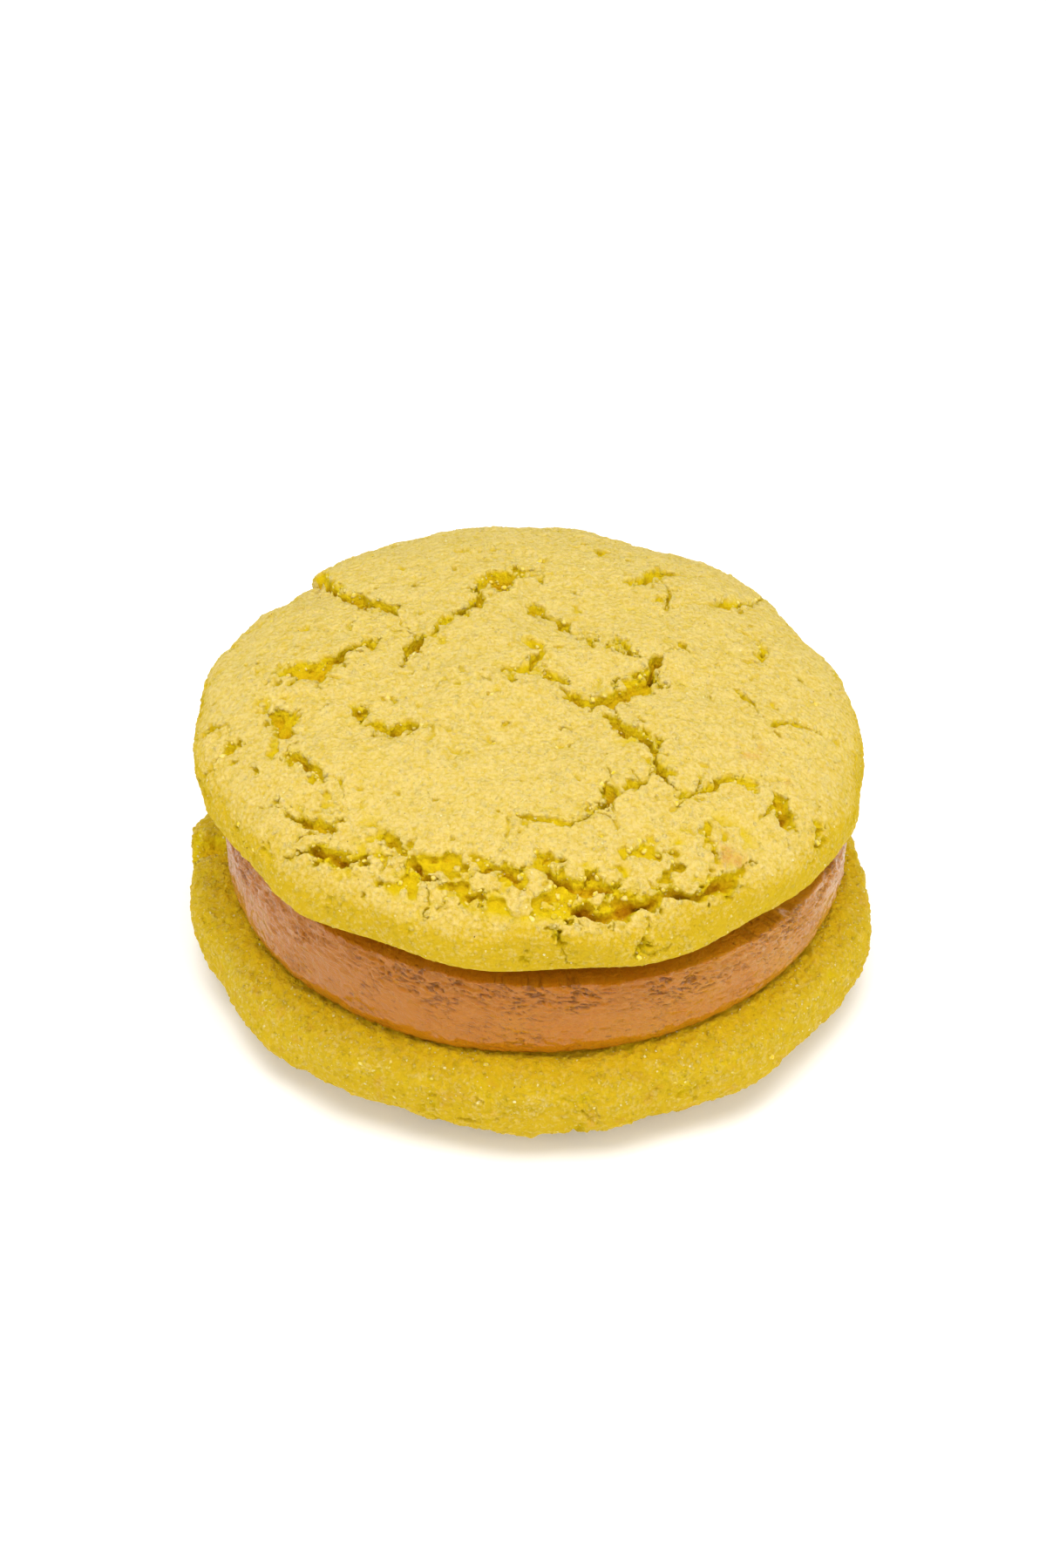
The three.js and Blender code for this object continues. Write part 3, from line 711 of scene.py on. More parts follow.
def top_cookie_relief(skin):
    points, flat, draws = skin["points"], skin["flat"], np.random.default_rng(201)
    spots = warped(flat, points, 21)
    uneven = bumps(points, 2.0, 31)
    named = [(path, width * CRACK_GIRTH, deep) for path, width, deep in CROWN_CRACKS]
    hollows = as_cracks(CROWN_HOLLOWS)
    hollows += chipped_lips(draws, named) + hairlines(draws, named)
    hollows += random_strokes(draws, 60, 3, 37, 3.4, (0.25, 0.55), (0.25, 0.6))
    depth = np.maximum(crack_depth(spots, uneven, named, draws), crack_depth(spots, uneven, hollows, draws))
    reach = np.hypot(flat[:, 0], flat[:, 1])
    leftward = smooth_step(0, -30, flat[:, 0])
    amount = np.clip(0.7 * bumps(points, 9, 33) + 0.7 * leftward * smooth_step(12, 30, reach)
                     + 0.35 * smooth_step(24, 32, reach), 0, 1)
    depth = np.maximum(depth, pit_depth(points, amount * (1 - smooth_step(38, 42, reach)), 34))
    belt = crumble_belt(flat)
    gaps = smooth_step(0.22, 0.6, layered(points, BELT_GAPS, 41))
    depth = np.maximum(depth, belt * 0.9 * gaps)
    lips = crack_depth(flat, np.zeros(len(flat)), [(path, width + 2.6, 1.0) for path, width, _ in named], draws)
    lift = sandy(points, 61, 0.11) + (0.15 + 0.85 * belt + 0.3 * lips) * crumb_relief(points, 1.9, 43) * 0.8
    drop = fault_drop(flat)
    finish_relief(skin, depth, lift - drop, smooth_step(2.0, 5.0, skin["under"] - 33.0))
    # no painted shade on the dropped rim, except in its deeper cracks
    skin["hollow_shade"] *= 1 - smooth_step(0.03, 0.15, drop) * (depth < 0.6)
    # paler where the skin faces up: partly a paler dry crust, partly painted sheen of the overhead light
    skin["dry_and_sheen"] = smooth_step(0.15, 0.95, skin["normals"][:, 2])
    toast = [np.exp(-(np.linalg.norm(flat - np.array(place), axis=1) / size) ** 2) for place, size in FRECKLES]
    skin["toast"] = np.max(toast, axis=0) * smooth_step(-0.35, 0.35, bumps(points, 0.9, 36))
    skin["syrup_and_shade"] = np.zeros(len(points))


def top_cookie_skin(settings):
    fine = settings.fine_spacing / MM
    skin = make_skin(TOP_SHAPE, settings.top_radius / MM, top_spacing(fine, TOP_HIDDEN), NET_TOP_SEED)
    top_cookie_relief(skin)
    skin = refined(skin, REFINED_EDGE * fine)
    top_cookie_relief(skin)
    return skin


def bottom_cookie_skin(settings):
    fine = settings.fine_spacing / MM
    skin = make_skin(BOTTOM_SHAPE, settings.bottom_radius / MM, bottom_spacing(fine, BOTTOM_HIDDEN), NET_BOTTOM_SEED)
    points, flat, draws = skin["points"], skin["flat"], np.random.default_rng(202)
    uneven = bumps(points, 2.0, 32)
    base = crack_depth(warped(flat, points, 22), uneven, BASE_CRACKS, draws)
    hollows = as_cracks(BASE_HOLLOWS)
    hollows += random_strokes(draws, 150, 35, 50, 1.4, (0.25, 0.45), (0.15, 0.35))
    base = np.maximum(base, crack_depth(flat, uneven, hollows, draws))
    over = flat / np.maximum(np.linalg.norm(flat, axis=1), 0.001)[:, None] * skin["under"][:, None]
    crown = [(turned_over(path), width * CRACK_GIRTH, deep) for path, width, deep in CROWN_CRACKS
             if is_on_underside(path)]
    crown += chipped_lips(draws, crown) + hairlines(draws, crown)
    crown += random_strokes(draws, 70, UNDERSIDE_CLEAR + 2, UNDERSIDE_REACH, 3.6, (0.3, 0.6), (0.25, 0.7))
    depth = np.maximum(base, crack_depth(warped(over, points, 24), uneven, crown, draws))
    from_middle = np.hypot(points[:, 0], points[:, 1])
    faces_up = points[:, 2] > BOTTOM_SHAPE["ring_height"]
    amount = np.where(faces_up, 0.3, 0.5) + 0.5 * bumps(points, 6, 37)
    clear = np.where(faces_up, 0.7, smooth_step(UNDERSIDE_CLEAR - 2, UNDERSIDE_CLEAR + 2, skin["under"]))
    depth = np.maximum(depth, pit_depth(points, np.clip(amount, 0, 1), 38) * clear)
    # the crumb has crept up round the foot of the jelly
    from_jelly = np.hypot(points[:, 0] - JELLY_CENTRE[0], points[:, 1] - JELLY_CENTRE[1]) - JELLY_RADIUS
    lift = sandy(points, 63, 0.19) + 0.3 * np.exp(-((from_jelly / 1.3) ** 2)) * faces_up
    shown = np.where(faces_up, smooth_step(30.5, 32.5, from_middle), 1.0)
    finish_relief(skin, depth, lift, shown)
    skin["shown"] = shown * smooth_step(0.0, 0.6, points[:, 2]) * np.where(faces_up, 1.0, 0.35)
    skin["dry_and_sheen"] = np.full(len(points), 0.04)
    skin["toast"] = smooth_step(0.5, 0.8, bumps(points, 1.5, 39)) * 0.35 * (from_middle > 36)
    # darker gold round the jelly's foot: partly its stain, partly painted shade under the jelly and the top cookie
    skin["syrup_and_shade"] = np.exp(-((np.maximum(from_jelly, 0) / 1.6) ** 2)) * faces_up
    return skin


# ---------------------------------------------------------------- meshes


def link(obj):
    bpy.context.scene.collection.objects.link(obj)
    return obj


def mesh_from_arrays(name, points, triangles):
    """A smooth-shaded mesh, in metres in the part's frame, from points in millimetres in the stack's frame."""
    mesh = bpy.data.meshes.new(name)
    mesh.vertices.add(len(points))
    mesh.vertices.foreach_set("co", ((points + STACK_CENTRE) * MM).ravel())
    mesh.loops.add(triangles.size)
    mesh.loops.foreach_set("vertex_index", triangles.ravel())
    mesh.polygons.add(len(triangles))
    mesh.polygons.foreach_set("loop_start", np.arange(0, triangles.size, 3))
    mesh.update()
    mesh.validate()
    mesh.shade_smooth()
    return mesh


def add_attribute(mesh, name, values):
    attribute = mesh.attributes.new(name, "FLOAT", "POINT")
    attribute.data.foreach_set("value", values.astype(np.float32))


def settle(obj, name):
    """Turns the modifiers' result into the object's own mesh."""
    graph = bpy.context.evaluated_depsgraph_get()
    mesh = bpy.data.meshes.new_from_object(obj.evaluated_get(graph))
    mesh.name = name
    obj.modifiers.clear()
    obj.data = mesh
    return obj


# What the crust's vertices carry, each from 0 to 1: depth of a crack or pit, which also sets its painted shade,
# paleness where the crust faces up (partly painted sheen), toasted freckles, stain of the jelly with painted shade at
# its foot, and whether anything is strewn there.
CRUST_MEASURES = ("hollow_shade", "dry_and_sheen", "toast", "syrup_and_shade", "shown")


def cookie_object(name, skin, triangles, material):
    """The cookie with its relief, brought down to so many triangles, which keeps the finest ones at the cracks."""
    mesh = mesh_from_arrays(name, skin["placed"], skin["triangles"])
    for measure in CRUST_MEASURES:
        add_attribute(mesh, measure, skin[measure])
    obj = link(bpy.data.objects.new(name, mesh))
    thinner = obj.modifiers.new("Thinner", "DECIMATE")
    thinner.ratio = min(1.0, triangles / len(skin["triangles"]))
    settle(obj, name)
    obj.data.shade_smooth()
    obj.data.materials.append(material)
    return obj


# ---------------------------------------------------------------- node helpers


class Field:
    """A node's output. Sums, products and powers of it are maths nodes in the same tree."""

    def __init__(self, desk, socket):
        self.desk, self.socket = desk, socket

    def math(self, operation, other=0.0):
        return self.desk.add("ShaderNodeMath", {0: self, 1: other}, operation=operation)

    def __add__(self, other):
        return self.math("ADD", other)

    def __sub__(self, other):
        return self.math("SUBTRACT", other)

    def __mul__(self, other):
        return self.math("MULTIPLY", other)

    def __truediv__(self, other):
        return self.math("DIVIDE", other)

    def __pow__(self, other):
        return self.math("POWER", other)

    def __rsub__(self, number):
        return self.desk.add("ShaderNodeMath", {0: number, 1: self}, operation="SUBTRACT")

    def ramp(self, low, high):
        """The field stretched so that low becomes 0 and high becomes 1."""
        return self.desk.add("ShaderNodeMapRange", {"Value": self, "From Min": low, "From Max": high})

    def split(self):
        """The X, Y and Z of a field of vectors."""
        outputs = self.desk.node("ShaderNodeSeparateXYZ", {0: self}).outputs
        return [Field(self.desk, socket) for socket in outputs]


class NodeDesk:
    """Adds nodes to a tree and joins them, one short line each."""

    def __init__(self, tree):
        self.tree = tree

    def node(self, kind, values=None, **settings):
        """A new node with these settings, and values or fields for its inputs."""
        node = self.tree.nodes.new(kind)
        for key, value in settings.items():
            setattr(node, key, value)
        for key, value in (values or {}).items():
            self.feed(node.inputs[key], value)
        return node

    def add(self, kind, values=None, output=0, **settings):
        """The output of a new node, as a field."""
        return Field(self, self.node(kind, values, **settings).outputs[output])

    def feed(self, socket, value):
        """Joins a field to the socket, or sets its value."""
        if isinstance(value, Field):
            self.tree.links.new(value.socket, socket)
        else:
            socket.default_value = value

    def vector(self, operation, first, second=(0.0, 0.0, 0.0)):
        return self.add("ShaderNodeVectorMath", {0: first, 1: second}, operation=operation)

    def scaled(self, vector, factor):
        return self.add("ShaderNodeVectorMath", {0: vector, "Scale": factor}, operation="SCALE")

    def combine(self, x, y, z):
        return self.add("ShaderNodeCombineXYZ", {"X": x, "Y": y, "Z": z})

    def noise(self, place, size, detail=2.0, roughness=0.5):
        """Noise from 0 to 1 whose bumps are about size metres across."""
        return self.add("ShaderNodeTexNoise", {
            "Vector": place, "Scale": 1 / size, "Detail": detail, "Roughness": roughness})

    def random(self, seed, low, high):
        """A random number for each point, or a random vector where low and high are vectors."""
        is_vector = isinstance(low, tuple)
        kind, first, output = ("FLOAT_VECTOR", 0, 0) if is_vector else ("FLOAT", 2, 1)
        values = {"Seed": seed, first: low, first + 1: high}
        return self.add("FunctionNodeRandomValue", values, output, data_type=kind)

    def store(self, geometry, name, value):
        """The geometry with the value kept at each point under this name."""
        return self.add("GeometryNodeStoreNamedAttribute", {
            "Geometry": geometry, "Name": name, "Value": value}, data_type="FLOAT", domain="POINT")

    def object_place(self):
        return self.add("ShaderNodeTexCoord", output="Object")

    def attribute(self, name):
        return self.add("ShaderNodeAttribute", output="Fac", attribute_name=name)

    def mix(self, factor, first, second):
        """The second colour laid over the first by this factor. Colours are fields or red, green and blue."""
        node = self.node("ShaderNodeMix", {"Factor": factor}, data_type="RGBA")
        sockets = [socket for socket in node.inputs if socket.type == "RGBA"]
        for socket, colour in zip(sockets, (first, second)):
            self.feed(socket, colour if isinstance(colour, Field) else (*colour, 1.0))
        return Field(self, next(socket for socket in node.outputs if socket.type == "RGBA"))

    def bump(self, height):
        return self.add("ShaderNodeBump", {"Height": height, "Strength": 1.0, "Distance": BUMP_REACH})


# ---------------------------------------------------------------- materials


BUMP_REACH = 0.42 * MM
CRUST_MATERIAL = "Sandy yellow crust"
SUGAR_COLOURS = ((0.70, 0.50, 0.05), (0.78, 0.66, 0.28))
SPECK_COLOURS = ((0.045, 0.016, 0.004), (0.30, 0.07, 0.01))


def new_material(name):
    """An empty material and the desk of its node tree."""
    material = bpy.data.materials.new(name)
    material.use_nodes = True
    material.node_tree.nodes.clear()
    return material, NodeDesk(material.node_tree)


def finish_material(desk, colour, roughness, specular, values=None, scatter=None):
    """Ends the tree with a principled shader. scatter is how light spreads inside: its weight, the shares of
    red, green and blue, and the distance in metres."""
    values = {"Base Color": colour, "Roughness": roughness, "Specular IOR Level": specular, **(values or {})}
    if scatter:
        values.update(zip(("Subsurface Weight", "Subsurface Radius", "Subsurface Scale"), scatter))
    desk.node("ShaderNodeOutputMaterial", {"Surface": desk.add("ShaderNodeBsdfPrincipled", values)})


def dough_material(settings):
    """Matte sandy crust: pale where it faces up, partly a paler dry crust and partly painted sheen;
    with painted shade and bounce light, pure yellow in its pits, gold and then brown in the cracks.

    The grains strewn over it wear it too, each with a tone of its own.
    """
    material, desk = new_material(CRUST_MATERIAL)
    place = desk.object_place()
    grain = desk.noise(place, 0.42 * MM, 4.0, 0.7)
    patch = desk.noise(place, 1.6 * MM, 4.0, 0.6)
    sand = desk.add("ShaderNodeTexVoronoi", {
        "Vector": place, "Scale": 1 / (0.52 * MM), "Randomness": 1.0}, "Distance")
    tops = sand.ramp(0.8, 0.2)
    mottle = grain.ramp(0.34, 0.66) + (patch.ramp(0.34, 0.66) * 0.6 + 0.2) + tops * 0.7
    # Paler where the crust faces up: partly a paler dry crust, partly painted sheen of the overhead light.
    paleness = desk.attribute("dry_and_sheen") * 0.75 + desk.attribute("tone") * 0.3
    dry_sheen_mix = paleness + (mottle - 1.35) * 0.6
    crust = desk.mix(dry_sheen_mix.ramp(0.0, 1.0), settings.crust_colour, settings.pale_sheen_colour)
    # Darker gold round the jelly's foot: partly its stain, partly painted shade.
    crust = desk.mix(desk.attribute("syrup_and_shade") * 0.75, crust, settings.crack_shade_colour)
    crust = desk.mix(desk.attribute("toast") * grain.ramp(0.3, 0.6), crust, settings.toasted_colour)
    # Painted shade and bounce light by depth: pure yellow in shallow pits, gold on crack walls, brown on the deepest
    # floors.
    hollow_shade = desk.attribute("hollow_shade")
    for low, high, colour in (
            (0.01, 0.2, settings.pit_shade_colour), (0.3, 0.75, settings.crack_shade_colour),
            (0.75, 1.1, settings.deep_shade_colour)):
        crust = desk.mix(hollow_shade.ramp(low, high), crust, colour)
    bump = desk.bump(grain * 1.2 + tops * 0.35)
    finish_material(desk, crust, 0.85, 0.1, {"Normal": bump}, (0.4, (0.85, 0.9, 0.1), 0.6 * MM))
    return material


def flow_place(desk, place, squeeze, slant):
    """The place squeezed so that a noise over it runs in long streaks that slant down towards +X."""
    x, y, z = place.split()
    return desk.combine(x * squeeze, y * squeeze, z + x * slant)


def jelly_material(settings):
    """Firm amber jelly with a wet, wrinkled skin; painted glow towards +X, painted shade in its pits and creases."""
    material, desk = new_material("Amber fruit jelly")
    place = desk.object_place()
    cloud = desk.noise(place, 8 * MM, 3.0, 0.6)
    x = place.split()[0]
    # Painted glow: the jelly turns orange towards +X, as light shines through its right side, in cloudy patches.
    painted_glow = x * 14.0 + cloud * 1.4
    body = desk.mix(painted_glow.ramp(0.65, 1.25), settings.amber_colour, settings.orange_glow_colour)
    leftness = x.ramp(-6 * MM, -22 * MM)
    streaks = desk.noise(flow_place(desk, place, 0.4, 0.35), 0.36 * MM, 3.0, 0.6) * (leftness + 0.25)
    satin = desk.noise(place, 0.55 * MM, 4.0, 0.65)
    smudges = desk.noise(flow_place(desk, place, 0.5, 0.1), 0.42 * MM)
    pits = smudges.ramp(0.66, 0.74) * cloud.ramp(0.42, 0.55)
    # Painted shade in the pits and creases.
    pit_crease_shade = (pits * 0.6).math("MAXIMUM", desk.attribute("crease").ramp(0.2, 0.6) * 0.5)
    bump = desk.bump(streaks + satin - pit_crease_shade * 0.8)
    finish_material(desk, desk.mix(pit_crease_shade, body, settings.pit_crease_shade_colour), 0.35, 0.05, {
        "Normal": bump, "Coat Weight": 1.0, "Coat Roughness": 0.14, "Coat IOR": 1.36},
        (0.25, (1.0, 0.35, 0.05), 1.0 * MM))
    return material


def sugar_material():
    """Small glassy crystals, part sunk in the dough and coloured by it."""
    material, desk = new_material("Sugar crystals")
    colour = desk.mix(desk.attribute("tone"), *SUGAR_COLOURS)
    finish_material(desk, colour, 0.4, 0.4, scatter=(0.4, (1.0, 0.8, 0.2), 0.4 * MM))
    return material


def crumb_material(settings):
    """Loose crumbs of the same dough."""
    material, desk = new_material("Loose crumbs")
    place = desk.object_place()
    mottle = desk.noise(place, 0.4 * MM).ramp(0.35, 0.65)
    # The crumbs take random tones between the pits' painted-shade yellow and the pale, partly sheen-painted crust
    # colour.
    colour = desk.mix(mottle, settings.pit_shade_colour, settings.pale_sheen_colour)
    finish_material(desk, colour, 0.8, 0.4, scatter=(0.3, (1.0, 0.6, 0.1), 1.0 * MM))
    return material


def speck_material():
    """Tiny toasted specks, from red-brown to nearly black."""
    material, desk = new_material("Toasted specks")
    colour = desk.mix(desk.attribute("tone").ramp(0.55, 0.9), *SPECK_COLOURS)
    finish_material(desk, colour, 0.6, 0.5)
    return material


# ---------------------------------------------------------------- geometry node trees


def new_tree(name, labels):
    """A geometry node tree, its desk, a field for each labelled input and the node that ends it."""
    tree = bpy.data.node_groups.new(name, "GeometryNodeTree")
    kinds = {"Geometry": "NodeSocketGeometry", "Seed": "NodeSocketInt"}
    for label in ["Geometry", *labels]:
        tree.interface.new_socket(label, in_out="INPUT", socket_type=kinds.get(label, "NodeSocketFloat"))
    tree.interface.new_socket("Geometry", in_out="OUTPUT", socket_type="NodeSocketGeometry")
    desk = NodeDesk(tree)
    given = {socket.name: Field(desk, socket) for socket in desk.node("NodeGroupInput").outputs}
    return tree, desk, given, desk.node("NodeGroupOutput")


def finish_tree(desk, geometry, material, output, smooth):
    shaded = desk.add("GeometryNodeSetShadeSmooth", {"Geometry": geometry, "Shade Smooth": smooth})
    real = desk.add("GeometryNodeRealizeInstances", {"Geometry": shaded})
    painted = desk.add("GeometryNodeSetMaterial", {"Geometry": real, "Material": material})
    desk.feed(output.inputs["Geometry"], painted)


def run_tree(name, base_mesh, tree, values):
    """An object whose mesh is what the tree makes of the base mesh with these input values."""
    obj = link(bpy.data.objects.new(name, base_mesh))
    modifier = obj.modifiers.new(name, "NODES")
    modifier.node_group = tree
    for item in tree.interface.items_tree:
        if item.in_out == "INPUT" and item.name in values:
            modifier[item.identifier] = values[item.name]
    return settle(obj, name)


def tree_noise(desk, place, size, detail=2.0, roughness=0.5):
    """Noise from about -0.5 to 0.5."""
    return desk.noise(place, size, detail, roughness) - 0.5


JELLY_SIDES = 860
JELLY_TIERS = 60
JELLY_RINGS = 12
JELLY_RIM = 0.3 * MM  # radius of the upper rim
JELLY_FOOT = 0.8 * MM  # how far the lower edge is drawn in


def jelly_relief(desk, place, rise):
    """Height of the wall's skin, from about -1 to 1, and how far each point lies in a crease, from 0 to 1."""
    swirl = tree_noise(desk, place, 3.5 * MM) * (1.8 * MM)
    stirred = desk.vector("ADD", place, desk.combine(0.0, 0.0, swirl))
    upper = rise.ramp(0.5, 0.8)
    patches = tree_noise(desk, place, 5.0 * MM).ramp(-0.12, 0.1)
    long_field = tree_noise(desk, flow_place(desk, stirred, 0.14, 0.045), 0.9 * MM, 2.0, 0.55)
    ridges = long_field.math("ABSOLUTE").ramp(0.09, 0.0) * upper
    short_field = tree_noise(desk, flow_place(desk, stirred, 0.32, 0.12), 0.8 * MM, 2.0, 0.6)
    creases = short_field.math("ABSOLUTE").ramp(0.055, 0.0) * patches * (upper * 0.55 + 0.45)
    lumps = tree_noise(desk, place, 2.6 * MM) + tree_noise(desk, place, 0.9 * MM)
    return ridges * 0.8 - creases + lumps, creases


def jelly_tree(material):
    """The jelly disc: a cylinder with a rounded rim and foot, a sloping top and a wrinkled wall."""
    tree, desk, given, output = new_tree("Jelly disc", [
        "Radius", "Base", "Thickness", "Slope", "Wrinkle Height", "Centre X", "Centre Y"])
    radius, thickness = given["Radius"], given["Thickness"]
    drum = desk.add("GeometryNodeMeshCylinder", {
        "Vertices": JELLY_SIDES, "Side Segments": JELLY_TIERS, "Fill Segments": JELLY_RINGS,
        "Radius": radius, "Depth": thickness}, fill_type="TRIANGLE_FAN")
    place = desk.add("GeometryNodeInputPosition")
    x, y, z = place.split()
    reach = (x * x + y * y).math("SQRT")
    rise = z / thickness + 0.5
    on_wall = (reach / radius).ramp(0.985, 1.0)
    past_rim = 1.0 - ((1.0 - rise) * thickness / JELLY_RIM).math("MINIMUM", 1.0)
    rim = ((1.0 - past_rim ** 2.0).math("SQRT") - 1.0) * JELLY_RIM
    past_foot = 1.0 - (rise * thickness / (2.4 * JELLY_FOOT)).math("MINIMUM", 1.0)
    foot = past_foot ** 1.6 * -JELLY_FOOT
    relief, creases = jelly_relief(desk, place, rise)
    slow = tree_noise(desk, place, 11 * MM, 1.0) * (0.5 * MM)
    push = (relief * given["Wrinkle Height"] + slow + (rim + foot)) * on_wall
    sideways = desk.scaled(desk.vector("NORMALIZE", desk.combine(x, y, 0.0)), push)
    dimples = tree_noise(desk, place, 2.0 * MM) * (0.12 * MM) * rise.ramp(0.9, 1.0)
    upward = rise * x * given["Slope"] + dimples + (given["Base"] + thickness * 0.5)
    offset = desk.vector("ADD", sideways, desk.combine(given["Centre X"], given["Centre Y"], upward))
    # the crease measure, kept for the material's painted shade in the creases
    creased = desk.store(drum, "crease", creases * on_wall)
    finish_tree(
        desk, desk.add("GeometryNodeSetPosition", {"Geometry": creased, "Offset": offset}), material, output, True)
    return tree


# A strewn piece is turned all the way about its own axis but tips over by this share only.
TIPPING = 0.12
SHAPE_SPREAD = (0.65, 1.15)  # least and greatest stretch of a piece along each of its axes


def strewing_tree(name, shape_node, material, smooth):
    """Small pieces strewn over a crust: how many follows the crust's own "strewn" attribute."""
    tree, desk, given, output = new_tree(name, ["Density", "Size", "Least Share", "Sunk", "Flatness", "Seed"])
    chance = desk.add("GeometryNodeInputNamedAttribute", {"Name": "strewn"}, data_type="FLOAT")
    strewn = desk.node("GeometryNodeDistributePointsOnFaces", {
        "Mesh": given["Geometry"], "Density": given["Density"] * chance, "Seed": given["Seed"]})
    points, normal = (Field(desk, strewn.outputs[label]) for label in ("Points", "Normal"))
    size = desk.random(0, given["Least Share"], 1.0)
    scale = (size * size).math("MAXIMUM", given["Least Share"]) * given["Size"]
    down = desk.scaled(normal, scale * given["Sunk"] * -1.0)
    placed = desk.add("GeometryNodeSetPosition", {"Geometry": points, "Offset": down})
    toned = desk.store(placed, "tone", desk.random(5, 0.0, 1.0))
    spin = desk.random(9, (-math.pi,) * 3, (math.pi,) * 3)
    stretch = desk.random(13, *((share,) * 3 for share in SHAPE_SPREAD))
    flattened = desk.vector("MULTIPLY", stretch, desk.combine(1.0, 1.0, given["Flatness"]))
    sizes = desk.vector("MULTIPLY", flattened, desk.combine(scale, scale, scale))
    aligned = desk.add("FunctionNodeAlignRotationToVector", {"Vector": normal}, axis="Z")
    tumble = desk.add("FunctionNodeEulerToRotation", {0: desk.vector("MULTIPLY", spin, (TIPPING, TIPPING, 1.0))})
    turned_about = desk.add("FunctionNodeRotateRotation", {0: aligned, 1: tumble}, rotation_space="LOCAL")
    instances = desk.add("GeometryNodeInstanceOnPoints", {
        "Points": toned, "Instance": shape_node(desk), "Rotation": turned_about, "Scale": sizes})
    finish_tree(desk, instances, material, output, smooth)
    return tree


def grain_shape(desk):
    """A rounded grain one unit across."""
    return desk.add("GeometryNodeMeshIcoSphere", {"Radius": 0.5, "Subdivisions": 1})


def crystal_shape(desk):
    """A blocky crystal about one unit across."""
    return desk.add("GeometryNodeMeshCube", {"Size": (0.9, 0.75, 0.8)})


def crumb_shape(desk):
    """A lumpy crumb about one unit across."""
    ball = desk.add("GeometryNodeMeshIcoSphere", {"Radius": 0.5, "Subdivisions": 2})
    place = desk.add("GeometryNodeInputPosition")
    lumps = desk.scaled(place, tree_noise(desk, place, 0.5, 1.0) * 1.6)
    return desk.add("GeometryNodeSetPosition", {"Geometry": ball, "Offset": lumps})


def copy_with_chance(obj, chance_of):
    """A copy of the object's mesh whose "strewn" attribute says how likely a piece is at each vertex."""
    mesh = obj.data.copy()
    hollow_shade, shown = np.zeros((2, len(mesh.vertices)))
    mesh.attributes["hollow_shade"].data.foreach_get("value", hollow_shade)
    mesh.attributes["shown"].data.foreach_get("value", shown)
    places = np.zeros(len(mesh.vertices) * 3)
    mesh.vertices.foreach_get("co", places)
    add_attribute(mesh, "strewn", chance_of(hollow_shade, shown, places.reshape(-1, 3)))
    return mesh


def join(objects, name):
    """One object of several meshes."""
    with bpy.context.temp_override(active_object=objects[0], selected_editable_objects=objects):
        bpy.ops.object.join()
    objects[0].name = name
    objects[0].data.name = name
    return objects[0]


def strew(name, crusts, tree, chance_of, values, dropped=CRUST_MEASURES):
    """Runs a strewing tree over each crust and joins the results, without the dropped measures."""
    parts = []
    for number, crust in enumerate(crusts):
        here = {**values, "Seed": values["Seed"] + 7 * number}
        parts.append(run_tree(f"{name}_{number}", copy_with_chance(crust, chance_of), tree, here))
    whole = join(parts, name)
    for measure in [*dropped, "strewn"]:
        if measure in whole.data.attributes:
            whole.data.attributes.remove(whole.data.attributes[measure])
    return whole


def carry(obj, node=None):
    """Rides the piece on the cookie's body and hides the part of the node that it stands for."""
    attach(obj, BODY)
    if node:
        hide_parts(node)
    return obj


# ---------------------------------------------------------------- operators


def add_cookie(context, name, node, skin_of):
    """Adds one cookie, in the dough that both share, in place of this node."""
    settings = context.scene.cookie_dough
    material = bpy.data.materials.get(CRUST_MATERIAL) or dough_material(settings)
    carry(cookie_object(name, skin_of(settings), settings.triangles, material), node)
    return {"FINISHED"}


class COOKIE_OT_top_cookie(bpy.types.Operator):
    """Adds the cracked top cookie"""

    bl_idname = "cookie.top_cookie"
    bl_label = "Top Cookie"

    def execute(self, context):
        return add_cookie(context, "crackled_top", "cookie_top", top_cookie_skin)


class COOKIE_OT_bottom_cookie(bpy.types.Operator):
    """Adds the bottom cookie, base up"""

    bl_idname = "cookie.bottom_cookie"
    bl_label = "Bottom Cookie"

    def execute(self, context):
        return add_cookie(context, "sandy_bottom", "cookie_bottom", bottom_cookie_skin)


class COOKIE_OT_jelly(bpy.types.Operator):
    """Adds the fruit jelly disc between the cookies"""

    bl_idname = "cookie.jelly"
    bl_label = "Fruit Jelly"

    def execute(self, context):
        settings = context.scene.cookie_jelly
        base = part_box("fruit_filling")[0].z - CONTACT * MM
        values = {
            "Radius": settings.radius, "Base": base, "Thickness": FILLING_TOP * MM - base, "Slope": TOP_SLOPE,
            "Wrinkle Height": settings.wrinkle_height,
            "Centre X": (STACK_CENTRE[0] + JELLY_CENTRE[0]) * MM,
            "Centre Y": (STACK_CENTRE[1] + JELLY_CENTRE[1]) * MM}
        tree = jelly_tree(jelly_material(settings))
        obj = run_tree("jelly_disc", bpy.data.meshes.new("jelly_disc"), tree, values)
        carry(obj, "fruit_filling")
        return {"FINISHED"}


# How likely a strewn piece is at each vertex, from how hollow the crust is there, whether anything is strewn on
# it at all, and the vertex's place in metres.


def grain_chance(hollow_shade, shown, places):
    return shown * (1 - 0.75 * smooth_step(0.06, 0.3, hollow_shade))


def sugar_chance(hollow_shade, shown, places):
    below_top = places[:, 2] < FILLING_TOP * MM
    return shown * (1 - 0.7 * smooth_step(0.1, 0.4, hollow_shade)) * (0.3 + 0.7 * below_top)


def crumb_chance(hollow_shade, shown, places):
    return shown * smooth_step(0.04, 0.16, hollow_shade) * (1 - smooth_step(0.5, 0.8, hollow_shade))


def speck_chance(hollow_shade, shown, places):
    below_top = places[:, 2] < FILLING_TOP * MM
    return shown * (0.45 + 0.55 * below_top)


PER_MM2 = 1 / MM**2


